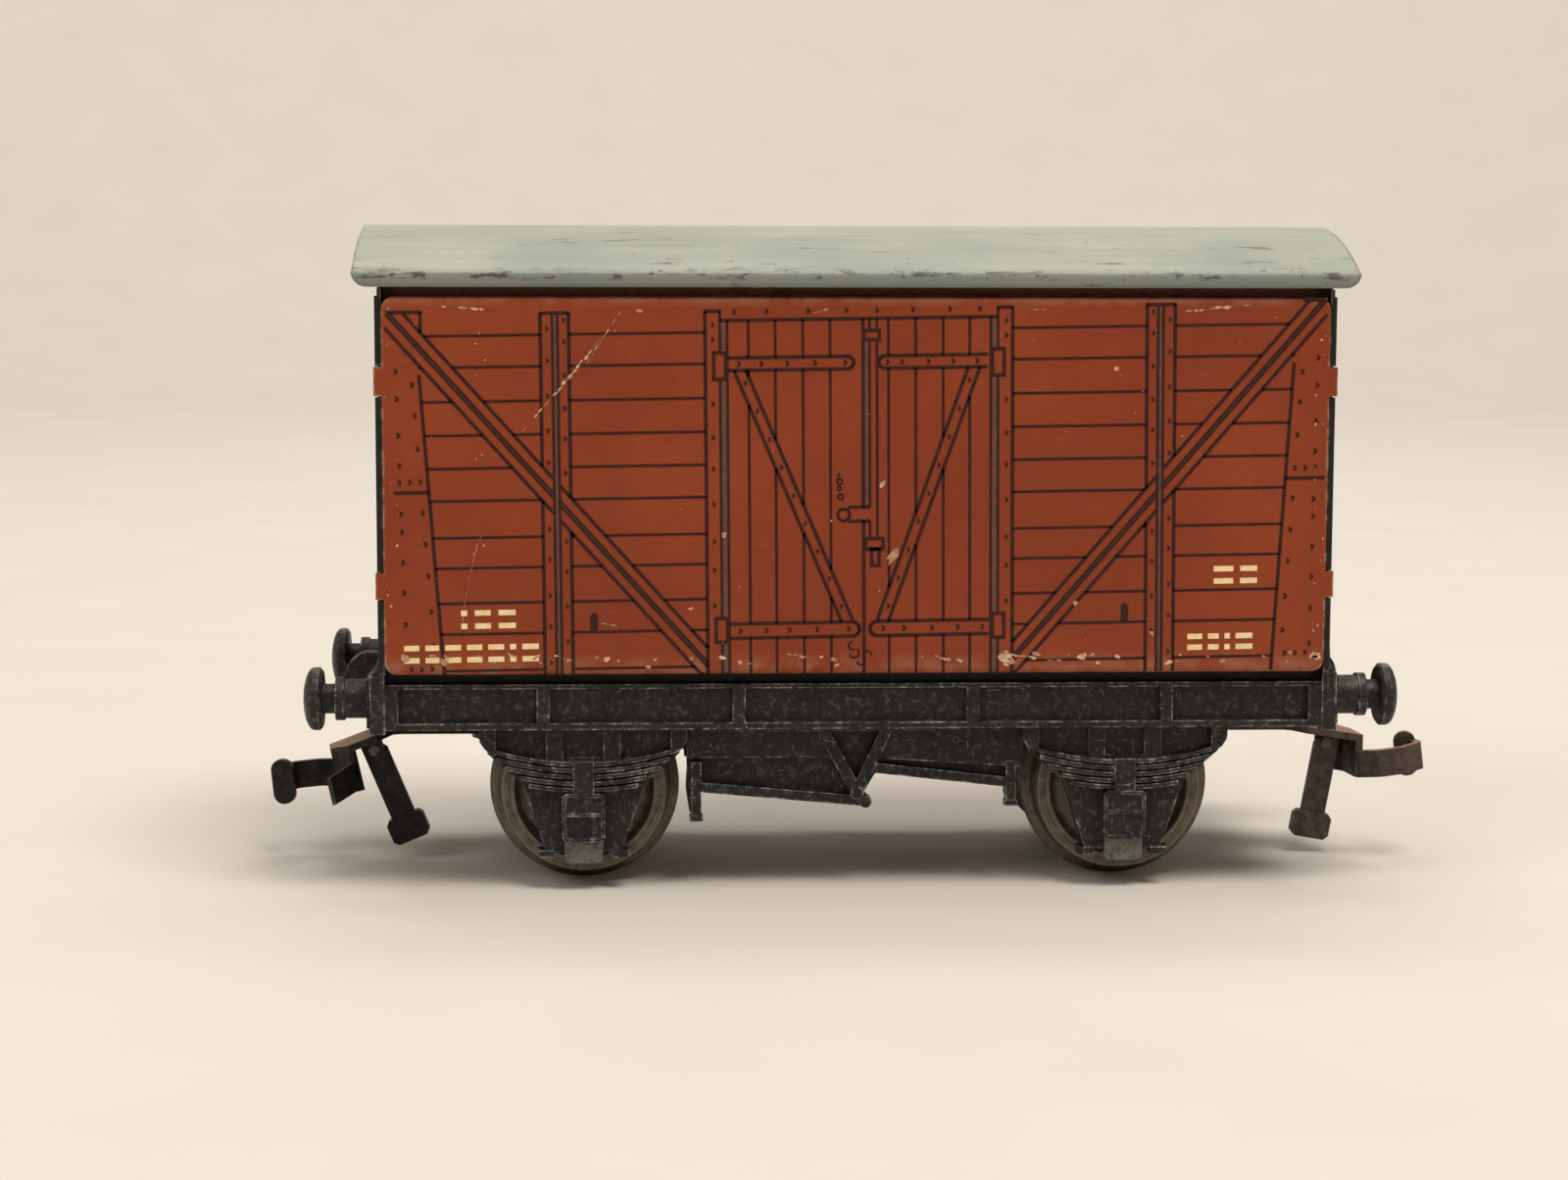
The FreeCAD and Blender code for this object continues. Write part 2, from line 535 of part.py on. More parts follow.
def body_end():
    """Right end panel: flat plate with an arched top and a rolled rim in three lengths."""
    face_in, face_out = HALF_LENGTH, HALF_LENGTH + SHEET
    blank = box(face_in, face_out, -HALF_WIDTH + 0.05, HALF_WIDTH - 0.05, BODY_BOTTOM, ROOF_CROWN)
    plate = blank.common(roof_arc_region(ROOF_RADIUS - SHEET - ROOF_SEAT_GAP, face_in, face_out))
    shoulder = ROOF_HALF - ROOF_RETURN - END_RIM_GAP
    breaks = [BODY_BOTTOM]
    for low, high in FOLD_TAB_LEVELS:
        breaks += [low - END_RIM_GAP, high + END_RIM_GAP]
    breaks.append(BODY_TOP)
    pieces = [plate]
    for low, high in zip(breaks[0::2], breaks[1::2]):
        for side in (-1, 1):
            near, far = sorted((side * (HALF_WIDTH - 0.05), side * (HALF_WIDTH - END_RIM_WIDTH)))
            rim = box(face_in, face_in + END_RIM, near, far, low, high)
            corner = [edge for edge in rim.Edges if is_upright(edge, face_in + END_RIM)]
            pieces.append(rim.makeFillet(END_RIM / 3, corner))
    notches = []
    for low, high in FOLD_TAB_LEVELS:
        for side in (-1, 1):
            near, far = sorted((side * HALF_WIDTH, side * (HALF_WIDTH - SHEET)))
            notches.append(box(face_in - 0.1, face_out, near, far, low - END_RIM_GAP, high + END_RIM_GAP))
    for side in (-1, 1):
        near, far = sorted((side * shoulder, side * HALF_WIDTH))
        notches.append(box(face_in - 0.1, face_out + 0.1, near, far, FASCIA_BOTTOM - END_RIM_GAP, ROOF_CROWN))
    return fuse(pieces).cut(notches)


def is_upright(edge, x):
    """True for a vertical edge at the given distance along the van."""
    first, last = edge.firstVertex().Point, edge.lastVertex().Point
    return abs(first.x - x) < 1e-6 and abs(last.x - x) < 1e-6 and abs(first.y - last.y) < 1e-6


def roof():
    """Arched roof with a folded fascia down each side and a lip at each end."""
    half = ROOF_LENGTH / 2
    sheet = roof_arc_region(ROOF_RADIUS, -half, half).cut(roof_arc_region(ROOF_RADIUS - SHEET, -half, half))
    pieces = [sheet]
    for side in (-1, 1):
        near, far = sorted((side * ROOF_HALF, side * (ROOF_HALF - SHEET)))
        pieces.append(box(-half, half, near, far, FASCIA_BOTTOM, FASCIA_TOP))
        near, far = sorted((side * ROOF_HALF, side * (ROOF_HALF - ROOF_RETURN)))
        pieces.append(box(-half, half, near, far, FASCIA_BOTTOM, FASCIA_BOTTOM + SHEET))
        near, far = sorted((side * half, side * (half - SHEET)))
        lip = roof_arc_region(ROOF_RADIUS, near, far).cut(roof_arc_region(ROOF_RADIUS - ROOF_LIP, near, far))
        pieces.append(lip)
    section = rounded_block(-ROOF_HALF, ROOF_HALF, FASCIA_BOTTOM, ROOF_CROWN + 5, FASCIA_BEND,
                            -half, half, "x")
    outline = rounded_block(-half, half, FASCIA_BOTTOM, ROOF_CROWN + 5, ROOF_CORNER,
                            -ROOF_HALF, ROOF_HALF, "y")
    return fuse(pieces).common(section).common(outline)


# ---- Wheelsets ----
def axle(x):
    """Plain axle with thinner journals at its ends."""
    journal_end = AXLE_END - 0.25
    profile = [(-AXLE_END, 0), (-AXLE_END, JOURNAL_RADIUS - 0.3), (-journal_end, JOURNAL_RADIUS),
               (-JOURNAL_START, JOURNAL_RADIUS), (-JOURNAL_START, AXLE_RADIUS), (JOURNAL_START, AXLE_RADIUS),
               (JOURNAL_START, JOURNAL_RADIUS), (journal_end, JOURNAL_RADIUS),
               (AXLE_END, JOURNAL_RADIUS - 0.3), (AXLE_END, 0)]
    return lathe(profile, V(x, 0, AXLE_HEIGHT), V(0, 1, 0), V(0, 0, 1))


def wheel(x, side):
    """Flanged disc wheel: sunken web, raised rim and hub on its outer face."""
    flange = [(0, 0.35), (0.15, 0.08), (0.35, 0), (0.6, 0.08), (0.8, 0.4)]
    profile = [(WHEEL_BACK, AXLE_RADIUS)]
    profile += [(WHEEL_BACK + along, FLANGE_RADIUS - inward) for along, inward in flange]
    profile += [
        (WHEEL_BACK + 1.0, TREAD_RADIUS + 0.06), (WHEEL_BACK + 1.3, TREAD_RADIUS),
        (WHEEL_FACE - 0.15, TREAD_RADIUS - 0.1), (WHEEL_FACE, TREAD_RADIUS - 0.25), (WHEEL_FACE, RIM_RADIUS),
        (WEB_FACE + 0.1, RIM_RADIUS - 0.2), (WEB_FACE, RIM_RADIUS - 0.4), (WEB_FACE, HUB_RADIUS + 0.3),
        (WEB_FACE + 0.15, HUB_RADIUS + 0.1), (HUB_FACE - 0.15, HUB_RADIUS), (HUB_FACE, HUB_RADIUS - 0.15),
        (HUB_FACE, AXLE_RADIUS),
    ]
    return lathe(profile, V(x, 0, AXLE_HEIGHT), V(0, side, 0), V(0, 0, 1))


# ---- Couplings, built pointing to +X ----
def strip_top(x):
    """Height of the coupling strip's upper face."""
    return TAIL_TOP - max(0.0, x - SLOPE_START) * math.tan(math.radians(TAIL_SLOPE))


def dropper_pivot(side):
    x = FRONT - DROPPER_SET_BACK[side]
    return x, strip_top(x) - STRIP - DROPPER_DROP


def front_at(y):
    """Where the middle of the bent front plate is, at a distance across."""
    knee, set_back = FRONT_KNEE
    if y <= knee:
        return FRONT - set_back * (y + HEAD_HALF) / (knee + HEAD_HALF)
    return FRONT - set_back - (FRONT_SKEW - set_back) * (y - knee) / (HEAD_HALF - knee)


def coupling_strip():
    """Flat tail and sloping neck, widening to the head."""
    end = FRONT + 1
    upper = [(TAIL_END, TAIL_TOP), (SLOPE_START, TAIL_TOP), (end, strip_top(end))]
    profile = upper + [(x, z - STRIP) for x, z in reversed(upper)]
    outer = STRIP / 2
    half_plan = [(TAIL_END, TAIL_HALF - TAIL_CHAMFER), (TAIL_END + TAIL_CHAMFER, TAIL_HALF),
                 (SLOPE_START - 0.6, TAIL_HALF), (SLOPE_START + 1.2, HEAD_HALF)]
    head = [(front_at(y) + outer, y) for y in (HEAD_HALF, FRONT_KNEE[0], -HEAD_HALF)]
    plan = half_plan + head + [(x, -y) for x, y in reversed(half_plan)]
    return prism_y(profile, -HEAD_HALF, HEAD_HALF).common(prism_z(plan, ARM_LOW - 1, TAIL_TOP + 1))


def coupling_plate():
    """Front plate, bent down from the strip and turned back on the guide's side."""
    line = [(front_at(y), y) for y in (-HEAD_HALF, FRONT_KNEE[0], HEAD_HALF)]
    plate = bent_strip(line, STRIP, FRONT_BEND, ARM_LOW, strip_top(FRONT) - 0.1)
    return plate.common(box(0, FRONT + 1, -HEAD_HALF, HEAD_HALF, 0, TAIL_TOP))


def coupling_arm():
    """Hook arm: leaves one side of the front plate and folds back at its tip to a T head."""
    end = (FRONT + 3.5, -0.5)
    line = [(front_at(-1.2), -1.2), (FRONT, -HEAD_HALF + 0.1), (FRONT + 1.5, -3.35), (FRONT + 3.3, -3.3),
            (FRONT + 4.9, -2.1), (FRONT + 4.7, -0.75), end]
    arm = bent_strip(line, STRIP, FRONT_BEND, ARM_LOW, ARM_HIGH)
    middle = (ARM_LOW + ARM_HIGH) / 2
    inner = end[0] - 0.2
    head = rounded_block(inner, inner + HEAD_WIDTH, middle - HEAD_HEIGHT / 2, middle + HEAD_HEIGHT / 2,
                         HEAD_WIDTH / 2 - 0.02, end[1] - STRIP / 2, end[1] + STRIP / 2, "y")
    lean = math.degrees(math.atan2(-0.25, 1.2))
    pieces = [arm, head.rotated(V(end[0], end[1], 0), V(0, 0, 1), lean)]
    return [piece.rotated(V(FRONT, 0, middle), V(0, 1, 0), -ARM_RISE) for piece in pieces]


def coupling_guide():
    """Short flared plate on the other side, which guides the next van's hook in."""
    root = front_at(HEAD_HALF)
    line = [(front_at(1.3), 1.3), (root, HEAD_HALF - 0.1), (root + 2.1, 4.2)]
    plate = bent_strip(line, STRIP, FRONT_BEND, ARM_LOW - 2, ARM_HIGH + 1)
    outline = [(root - 1, 8.9), (root - 0.2, 8.8), (root + 2.6, 7.9), (root + 2.6, 5.85), (root - 0.2, 6.6),
               (root - 1, 6.7)]
    return plate.common(prism_y(outline, -1, 6))


def droop(shape, side):
    """Bends the outer part of a coupling down about the headstock's edge."""
    return shape.rotated(V(SLOPE_START, 0, TAIL_TOP - STRIP / 2), V(0, 1, 0), DROOP[side])


def facing(shape, side):
    return half_turn(shape) if side == "left" else shape


def coupling_hook(side):
    pivot_x, pivot_z = dropper_pivot(side)
    strip = coupling_strip()
    ear_y0 = DROPPER_THICKNESS / 2 + LUG_GAP
    ear_y1 = ear_y0 + STRIP
    ear = box(pivot_x - EAR_RADIUS, pivot_x + EAR_RADIUS, ear_y0, ear_y1, pivot_z, strip_top(pivot_x) - 0.2)
    ear_end = cylinder_y(EAR_RADIUS, ear_y0, ear_y1, pivot_x, pivot_z)
    outer_part = [strip.common(box(SLOPE_START, FRONT + 2, -4, 4, 0, 12)), ear, ear_end, coupling_plate(),
                  coupling_guide()] + coupling_arm()
    tail = strip.common(box(0, SLOPE_START, -4, 4, 0, 12))
    if DROOP[side]:
        elbow = cylinder_y(STRIP / 2, -TAIL_HALF - 0.3, TAIL_HALF + 0.3, SLOPE_START, TAIL_TOP - STRIP / 2)
        outer_part.append(elbow)
    hook = fuse([tail] + [droop(piece, side) for piece in outer_part])
    pin_hole = droop(cylinder_y(PIN_RADIUS, -2, 2, pivot_x, pivot_z), side)
    rivet_hole = cylinder_z(RIVET_RADIUS + PIVOT_CLEARANCE, TAIL_TOP - 2, TAIL_TOP + 1, RIVET_STATION, 0)
    return facing(hook.cut([pin_hole, rivet_hole]), side)


def coupling_rivet(side):
    """Rivet with a domed head under the washer."""
    head_top = TAIL_TOP - STRIP - 0.1 - WASHER[1]
    dome = [(head_top - RIVET_HEAD_HEIGHT * math.sin(t), RIVET_HEAD_RADIUS * math.cos(t))
            for t in [math.radians(step * 15) for step in range(7)]]
    profile = [(RIVET_TOP, 0), (RIVET_TOP, RIVET_RADIUS), (head_top, RIVET_RADIUS)] + dome
    return facing(lathe(profile, V(RIVET_STATION, 0, 0), V(0, 0, 1), V(1, 0, 0)), side)


def coupling_washer(side):
    radius, thickness = WASHER
    top = TAIL_TOP - STRIP - 0.1
    ring = cylinder_z(radius, top - thickness, top, RIVET_STATION, 0)
    hole = cylinder_z(RIVET_RADIUS + PIVOT_CLEARANCE, top - thickness - 1, top + 1, RIVET_STATION, 0)
    return facing(ring.cut(hole), side)


def dropper_pin(side):
    """Small headed pin through the ear and the dropper."""
    pivot_x, pivot_z = dropper_pivot(side)
    near = -DROPPER_THICKNESS / 2 - LUG_GAP
    far = DROPPER_THICKNESS / 2 + LUG_GAP + STRIP
    crown = PIN_HEAD_RADIUS - 0.1
    profile = [(near - PIN_HEAD_HEIGHT, 0), (near - PIN_HEAD_HEIGHT, crown), (near, PIN_HEAD_RADIUS),
               (near, PIN_RADIUS), (far, PIN_RADIUS), (far, PIN_HEAD_RADIUS), (far + PIN_HEAD_HEIGHT, crown),
               (far + PIN_HEAD_HEIGHT, 0)]
    pin = lathe(profile, V(pivot_x, 0, pivot_z), V(0, 1, 0), V(0, 0, 1))
    return facing(droop(pin, side), side)


def dropper(side):
    """Hanging strip with a T foot and a heel at its top that stops it against the coupling."""
    pivot_x, pivot_z = dropper_pivot(side)
    half, foot_half = DROPPER_HALF, FOOT_HALF
    shoulder, low = FOOT_START + 0.35, DROPPER_LENGTH
    shank = [(half, HEEL - 0.02), (0.4, HEEL), (-0.3, 0.5), (-0.65, 0.2), (-half, -0.2),
             (-half, -shoulder), (half, -shoulder)]
    foot = [(-foot_half + 0.3, -FOOT_START), (-foot_half, -shoulder), (-foot_half, 0.35 - low),
            (0.35 - foot_half, -low), (foot_half - 0.35, -low), (foot_half, 0.35 - low),
            (foot_half, -shoulder), (foot_half - 0.3, -FOOT_START)]
    pieces = []
    for outline, thickness in ((shank, DROPPER_THICKNESS), (foot, FOOT_THICKNESS)):
        points = [(pivot_x + a, pivot_z + b) for a, b in outline]
        pieces.append(prism_y(points, -thickness / 2, thickness / 2))
    hole = cylinder_y(PIN_RADIUS + PIVOT_CLEARANCE, -2, 2, pivot_x, pivot_z)
    leaning = fuse(pieces).cut(hole).rotated(V(pivot_x, 0, pivot_z), V(0, 1, 0), DROPPER_LEAN)
    return facing(droop(leaning, side), side)


# ---- All the parts ----
def parts():
    nodes = {
        "underframe_casting": underframe_casting(),
        "body_side_near": body_side(),
        "body_side_far": half_turn(body_side()),
        "body_end_right": body_end(),
        "body_end_left": half_turn(body_end()),
        "roof": roof(),
    }
    for side, x in (("left", -WHEELBASE / 2), ("right", WHEELBASE / 2)):
        nodes["axle_" + side] = axle(x)
        nodes["wheel_near_" + side] = wheel(x, -1)
        nodes["wheel_far_" + side] = wheel(x, 1)
        nodes["coupling_rivet_" + side] = coupling_rivet(side)
        nodes["coupling_washer_" + side] = coupling_washer(side)
        nodes["coupling_hook_" + side] = coupling_hook(side)
        nodes["dropper_pin_" + side] = dropper_pin(side)
        nodes["dropper_" + side] = dropper(side)
    return nodes


os.makedirs("parts", exist_ok=True)
for name, shape in parts().items():
    limits = shape.BoundBox
    size = [round(value, 2) for value in (limits.XLength, limits.YLength, limits.ZLength)]
    print(name, "solids", len(shape.Solids), "valid", shape.isValid(), "size", size)
    shape.exportStep("parts/" + name + ".step")
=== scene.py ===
import json
import math
import random

import bmesh
import bpy
from mathutils import Matrix, Vector

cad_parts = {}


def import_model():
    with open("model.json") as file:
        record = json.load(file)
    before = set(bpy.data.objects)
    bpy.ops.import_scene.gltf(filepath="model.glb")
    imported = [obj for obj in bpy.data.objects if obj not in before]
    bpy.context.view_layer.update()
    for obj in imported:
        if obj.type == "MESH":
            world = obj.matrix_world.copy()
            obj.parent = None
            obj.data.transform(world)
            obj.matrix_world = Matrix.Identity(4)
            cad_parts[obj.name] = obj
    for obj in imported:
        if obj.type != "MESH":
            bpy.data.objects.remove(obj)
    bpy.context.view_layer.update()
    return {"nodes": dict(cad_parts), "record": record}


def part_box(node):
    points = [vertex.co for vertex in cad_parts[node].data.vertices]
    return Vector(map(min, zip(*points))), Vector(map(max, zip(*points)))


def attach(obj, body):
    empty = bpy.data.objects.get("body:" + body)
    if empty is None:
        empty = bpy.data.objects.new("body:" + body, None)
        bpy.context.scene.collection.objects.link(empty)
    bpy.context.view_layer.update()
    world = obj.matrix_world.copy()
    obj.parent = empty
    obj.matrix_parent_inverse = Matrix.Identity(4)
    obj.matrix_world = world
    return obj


# Looks of the goods van. Positions below are in millimetres in the CAD frame: X along
# the van, Y across it (-Y is the near side), Z up from the wheel flanges' lowest point.

MM = 0.001

PANEL_BEND = 0.5            # outside radius of the panels' folded edges
END_SHEET = 0.3             # thickness of the end panels
PRINT_LIFT = 0.012          # ink stands this far off the tinplate
PRINT_LAYER = 0.004         # and this much further for each layer over another
PRINT_DEPTH = 0.03          # and is let this far into it

# Ink widths
THIN = 0.2
LINE = 0.26

# Planks and posts of the printed side, before the print's small skew
PLANKS = (41.37, 39.11, 36.64, 34.22, 31.83, 29.49, 26.82, 24.62, 22.06, 19.81, 17.13)
PRINT_FOOT = 16.05          # lines run down to here, round the bottom fold
PRINT_CENTRE = 0.1
PRINT_RISE = 0.0155         # planks climb to the right
PRINT_LEAN = 0.009          # posts lean to the left
SKEW_LEVEL = 30.0
CORNER_EDGE = 34.0
PLATE_FOOT = 30.2           # corner plate's slanted edge at the bottom
PLATE_SLANT = 0.066
POST_IN, POST_OUT, POST_TOP = 10.05, 11.11, 42.87
DOOR_EDGE = 9.53
DOOR_TOP = 42.2
DOOR_BOARDS = (2.11, 4.08, 6.07, 8.0)
HINGE_LUG_LEVELS = ((37.98, 39.88), (18.87, 20.62))
HINGE_LUG = (9.65, 10.5)    # distance of a lug's sides from the middle
STRAP_TOP = (38.6, 39.5)    # upper hinge straps of the doors
STRAP_FOOT = (19.15, 20.2)  # lower ones
STANCHION = (20.9, 22.93, 42.9)
STEM = (21.7, 22.08)
BRACE_START = (32.75, 43.05)
BRACE_SLOPE = 1.135
BRACE_LINES = (0.0, 1.08, 1.43, 2.5)
END_POSTS = ((-5.1, -3.9), (3.9, 5.1))
END_VENT = (2.5, 37.2, 42.6)    # half width, bottom and top of the printed ventilator
RIVET = 0.2
DASH = 0.4                  # thickness of the plain dashes that stand for the figures


# ---- Ink outlines on a flat sheet ----
class Print:
    """Collects closed slivers of ink on the (a, b) plane of one panel."""

    def __init__(self):
        self.mesh = bmesh.new()

    def fill(self, outline, layer=0):
        """Closed plate with the given outline, a little higher for each layer."""
        high = PRINT_LIFT + PRINT_LAYER * layer
        top = [self.mesh.verts.new((a, b, high)) for a, b in outline]
        low = [self.mesh.verts.new((a, b, -PRINT_DEPTH)) for a, b in outline]
        self.mesh.faces.new(top)
        self.mesh.faces.new(low[::-1])
        for index, corner in enumerate(top):
            self.mesh.faces.new((low[index - 1], low[index], corner, top[index - 1]))

    def line(self, start, end, width=LINE, layer=1):
        run = Vector(end) - Vector(start)
        if run.length < 1e-6:
            return
        run.normalize()
        across = Vector((-run.y, run.x)) * width / 2
        start, end = Vector(start), Vector(end)
        self.fill([start - across, end - across, end + across, start + across], layer)

    def frame(self, a0, a1, b0, b1, width=LINE):
        """Outline of a rectangle."""
        half = width / 2
        self.line((a0 - half, b0), (a1 + half, b0), width, 2)
        self.line((a0 - half, b1), (a1 + half, b1), width, 2)
        self.line((a0, b0 + half), (a0, b1 - half), width, 2)
        self.line((a1, b0 + half), (a1, b1 - half), width, 2)

    def ring(self, a, b, radius, width=THIN, steps=20, start=0.0, turn=360.0):
        """Part of a circle, drawn as overlapping short lines."""
        points = [(a + radius * math.cos(math.radians(start + turn * step / steps)),
                   b + radius * math.sin(math.radians(start + turn * step / steps)))
                  for step in range(steps + 1)]
        for first, second in zip(points, points[1:]):
            run = (Vector(second) - Vector(first)) * 0.12
            self.line(Vector(first) - run, Vector(second) + run, width, 2)

    def rivet(self, a, b, radius=RIVET):
        """Rivet head as printed: a dark disc with its lit side left open."""
        arc = [(a + radius * math.cos(math.radians(angle)), b + radius * math.sin(math.radians(angle)))
               for angle in range(-125, 126, 25)]
        self.fill(arc + [(a + radius * 0.1, b)], 3)


def cut_line(start, end, masks):
    """Parts of a line left outside convex masks, as (start, end) pairs."""
    start, end = Vector(start), Vector(end)
    kept = [(0.0, 1.0)]
    for mask in masks:
        low, high = 0.0, 1.0
        for index, corner in enumerate(mask):
            edge = Vector(corner) - Vector(mask[index - 1])
            inward = Vector((-edge.y, edge.x))
            at_start = inward.dot(start - Vector(corner))
            at_end = inward.dot(end - Vector(corner))
            if at_start < 0 and at_end < 0:
                high = -1.0
            elif at_start < 0:
                low = max(low, at_start / (at_start - at_end))
            elif at_end < 0:
                high = min(high, at_start / (at_start - at_end))
        if high > low:
            kept = [piece for a, b in kept for piece in ((a, min(b, low)), (max(a, high), b))
                    if piece[1] - piece[0] > 1e-4]
    return [(start.lerp(end, a), start.lerp(end, b)) for a, b in kept]


def brace(level):
    """Line of the diagonal brace, as the height at a given distance from the middle."""
    distance, height = BRACE_START
    return lambda d: height - level + (d - distance) * BRACE_SLOPE


def brace_at(level, height):
    """Distance from the middle at which a brace line has the given height."""
    distance, top = BRACE_START
    return distance + (height - top + level) / BRACE_SLOPE


def plate_edge(height):
    return PLATE_FOOT + (height - 16.5) * PLATE_SLANT


def mirrored(hand, points):
    """Outline of (distance from the middle, height) points, put on the left or right half and wound
    anticlockwise."""
    placed = [(PRINT_CENTRE + hand * d, b) for d, b in points]
    area = sum(p[0] * q[1] - q[0] * p[1] for p, q in zip(placed, placed[1:] + placed[:1]))
    return placed if area > 0 else placed[::-1]


def side_half(ink, shade, hand):
    """Planks, posts, corner plate and brace of one half of a side."""
    def at(d, b):
        return PRINT_CENTRE + hand * d, b

    bottom = PRINT_FOOT
    lower = BRACE_LINES[-1]
    brace_mask = mirrored(hand, [(brace_at(0, bottom), bottom), (34.4, brace(0)(34.4)),
                                 (34.4, brace(lower)(34.4)), (brace_at(lower, bottom), bottom)])
    post_mask = mirrored(hand, [(STANCHION[0], bottom), (STANCHION[1], bottom),
                                (STANCHION[1], STANCHION[2]), (STANCHION[0], STANCHION[2])])
    stem_mask = mirrored(hand, [(STEM[0], bottom), (STEM[1], bottom), (STEM[1], 43), (STEM[0], 43)])
    plate_mask = mirrored(hand, [(plate_edge(bottom), bottom), (36, bottom), (36, brace(lower)(36)),
                                 (plate_edge(40), 40)])
    door_mask = mirrored(hand, [(0, bottom), (POST_OUT, bottom), (POST_OUT, 43), (0, 43)])

    for height in PLANKS:
        masks = [brace_mask, post_mask, plate_mask]
        for start, end in cut_line(at(POST_OUT, height), at(CORNER_EDGE, height), masks):
            ink.line(start, end, THIN)

    # Diagonal brace: two outer edges and the stem between them
    for level in BRACE_LINES:
        top = min(34.05, brace_at(level, 43.0))
        start = at(top, brace(level)(top))
        end = at(brace_at(level, bottom), bottom)
        for piece in cut_line(start, end, [stem_mask, door_mask]):
            ink.line(*piece, LINE if level in (BRACE_LINES[0], lower) else THIN)
    middle = (BRACE_LINES[1] + BRACE_LINES[2]) / 2
    start = at(34.0, brace(middle)(34.0))
    for piece in cut_line(start, at(brace_at(middle, bottom), bottom), [stem_mask, door_mask]):
        shade.line(*piece, 0.2, 0)

    # Gusset at the top of the brace, and the corner plate
    inner = 31.5 if hand < 0 else 32.4
    ink.line(at(inner - 0.1, 43.1), at(33.9, 43.1))
    if hand < 0:
        ink.line(at(inner, 43.1), at(inner, brace(0)(inner)))
    plate_top = 38.6
    ink.line(at(plate_edge(plate_top), plate_top), at(plate_edge(bottom), bottom))
    ink.line(at(plate_edge(30.15), 30.15), at(33.6 if hand < 0 else 34.0, 30.15))
    for height in (38.9, 36.9, 34.3, 32.1, 28.6, 27.3, 25.1, 22.9, 20.6, 18.0):
        ink.rivet(*at(32.95 + (height - 18) * 0.02, height))
    for height in (37.9, 35.7, 33.3, 28.7, 26.4, 24.1, 21.5, 19.0):
        ink.rivet(*at(plate_edge(height) + 0.6, height))
    for distance in (31.75, 32.5, 33.25):
        ink.rivet(*at(distance, 30.9))
        ink.rivet(*at(distance - 0.6, 17.3))

    # Stanchion: two riveted edges, crossed by the brace, and the stem between them
    inside, outside, top = STANCHION
    for distance in (inside, outside):
        for piece in cut_line(at(distance, top), at(distance, bottom), [brace_mask]):
            ink.line(*piece)
    ink.line(at(inside - 0.1, top), at(outside + 0.1, top))
    for distance in STEM:
        ink.line(at(distance, top), at(distance, bottom), THIN, 2)
    shade.line(at(sum(STEM) / 2, top), at(sum(STEM) / 2, bottom), STEM[1] - STEM[0], 0)
    for height in (41.8, 39.5, 36.95, 34.45, 32.15, 27.35, 25.15, 22.55, 20.25, 17.6):
        ink.rivet(*at(22.52, height), 0.18)
    for height in (42.4, 40.85, 38.45, 36.05, 33.85, 31.4, 26.45, 24.25, 21.7, 19.15):
        ink.rivet(*at(21.3, height), 0.18)

    # Door post, door edge and hinge lugs
    near, far = HINGE_LUG
    lugs = [mirrored(hand, [(near, low), (far, low), (far, high), (near, high)])
            for low, high in HINGE_LUG_LEVELS]
    ink.line(at(POST_IN - 0.1, POST_TOP), at(POST_OUT + 0.1, POST_TOP))
    ink.line(at(POST_OUT, POST_TOP), at(POST_OUT, bottom))
    for distance in (POST_IN, DOOR_EDGE):
        for piece in cut_line(at(distance, POST_TOP if distance == POST_IN else DOOR_TOP),
                              at(distance, bottom), lugs):
            ink.line(*piece, THIN)
    between = (POST_IN + DOOR_EDGE) / 2
    for piece in cut_line(at(between, DOOR_TOP), at(between, bottom), lugs):
        shade.line(*piece, POST_IN - DOOR_EDGE, 0)
    left, right = sorted((at(near, 0)[0], at(far, 0)[0]))
    for low, high in HINGE_LUG_LEVELS:
        ink.frame(left, right, low, high)
    for height in (41.9, 40.85, 36.2, 33.8, 31.5, 28.95, 26.25, 24.15, 21.55):
        ink.rivet(*at(10.62, height), 0.18)


def strap(ink, outer, inner, low, high, rivets):
    """Hinge strap from the door edge to a rounded end."""
    hand = 1 if inner < outer else -1
    radius = (high - low) / 2
    middle = (high + low) / 2
    ink.line((outer, high), (inner + hand * radius, high))
    ink.line((outer, low), (inner + hand * radius, low))
    ink.ring(inner + hand * radius, middle, radius, LINE, 14, 90, 180 * hand)
    for a in rivets:
        ink.rivet(a, middle)


def door_strap(ink, top, foot, width):
    """Slanted strap between the two hinge straps of a door."""
    for offset in (0.0, width):
        ink.line((top[0] + offset, top[1]), (foot[0] + offset, foot[1]))
    count = 9
    for step in range(count):
        share = (step + 0.45) / count
        a = top[0] + (foot[0] - top[0]) * share + width * 0.45
        ink.rivet(a, top[1] + (foot[1] - top[1]) * share, 0.18)


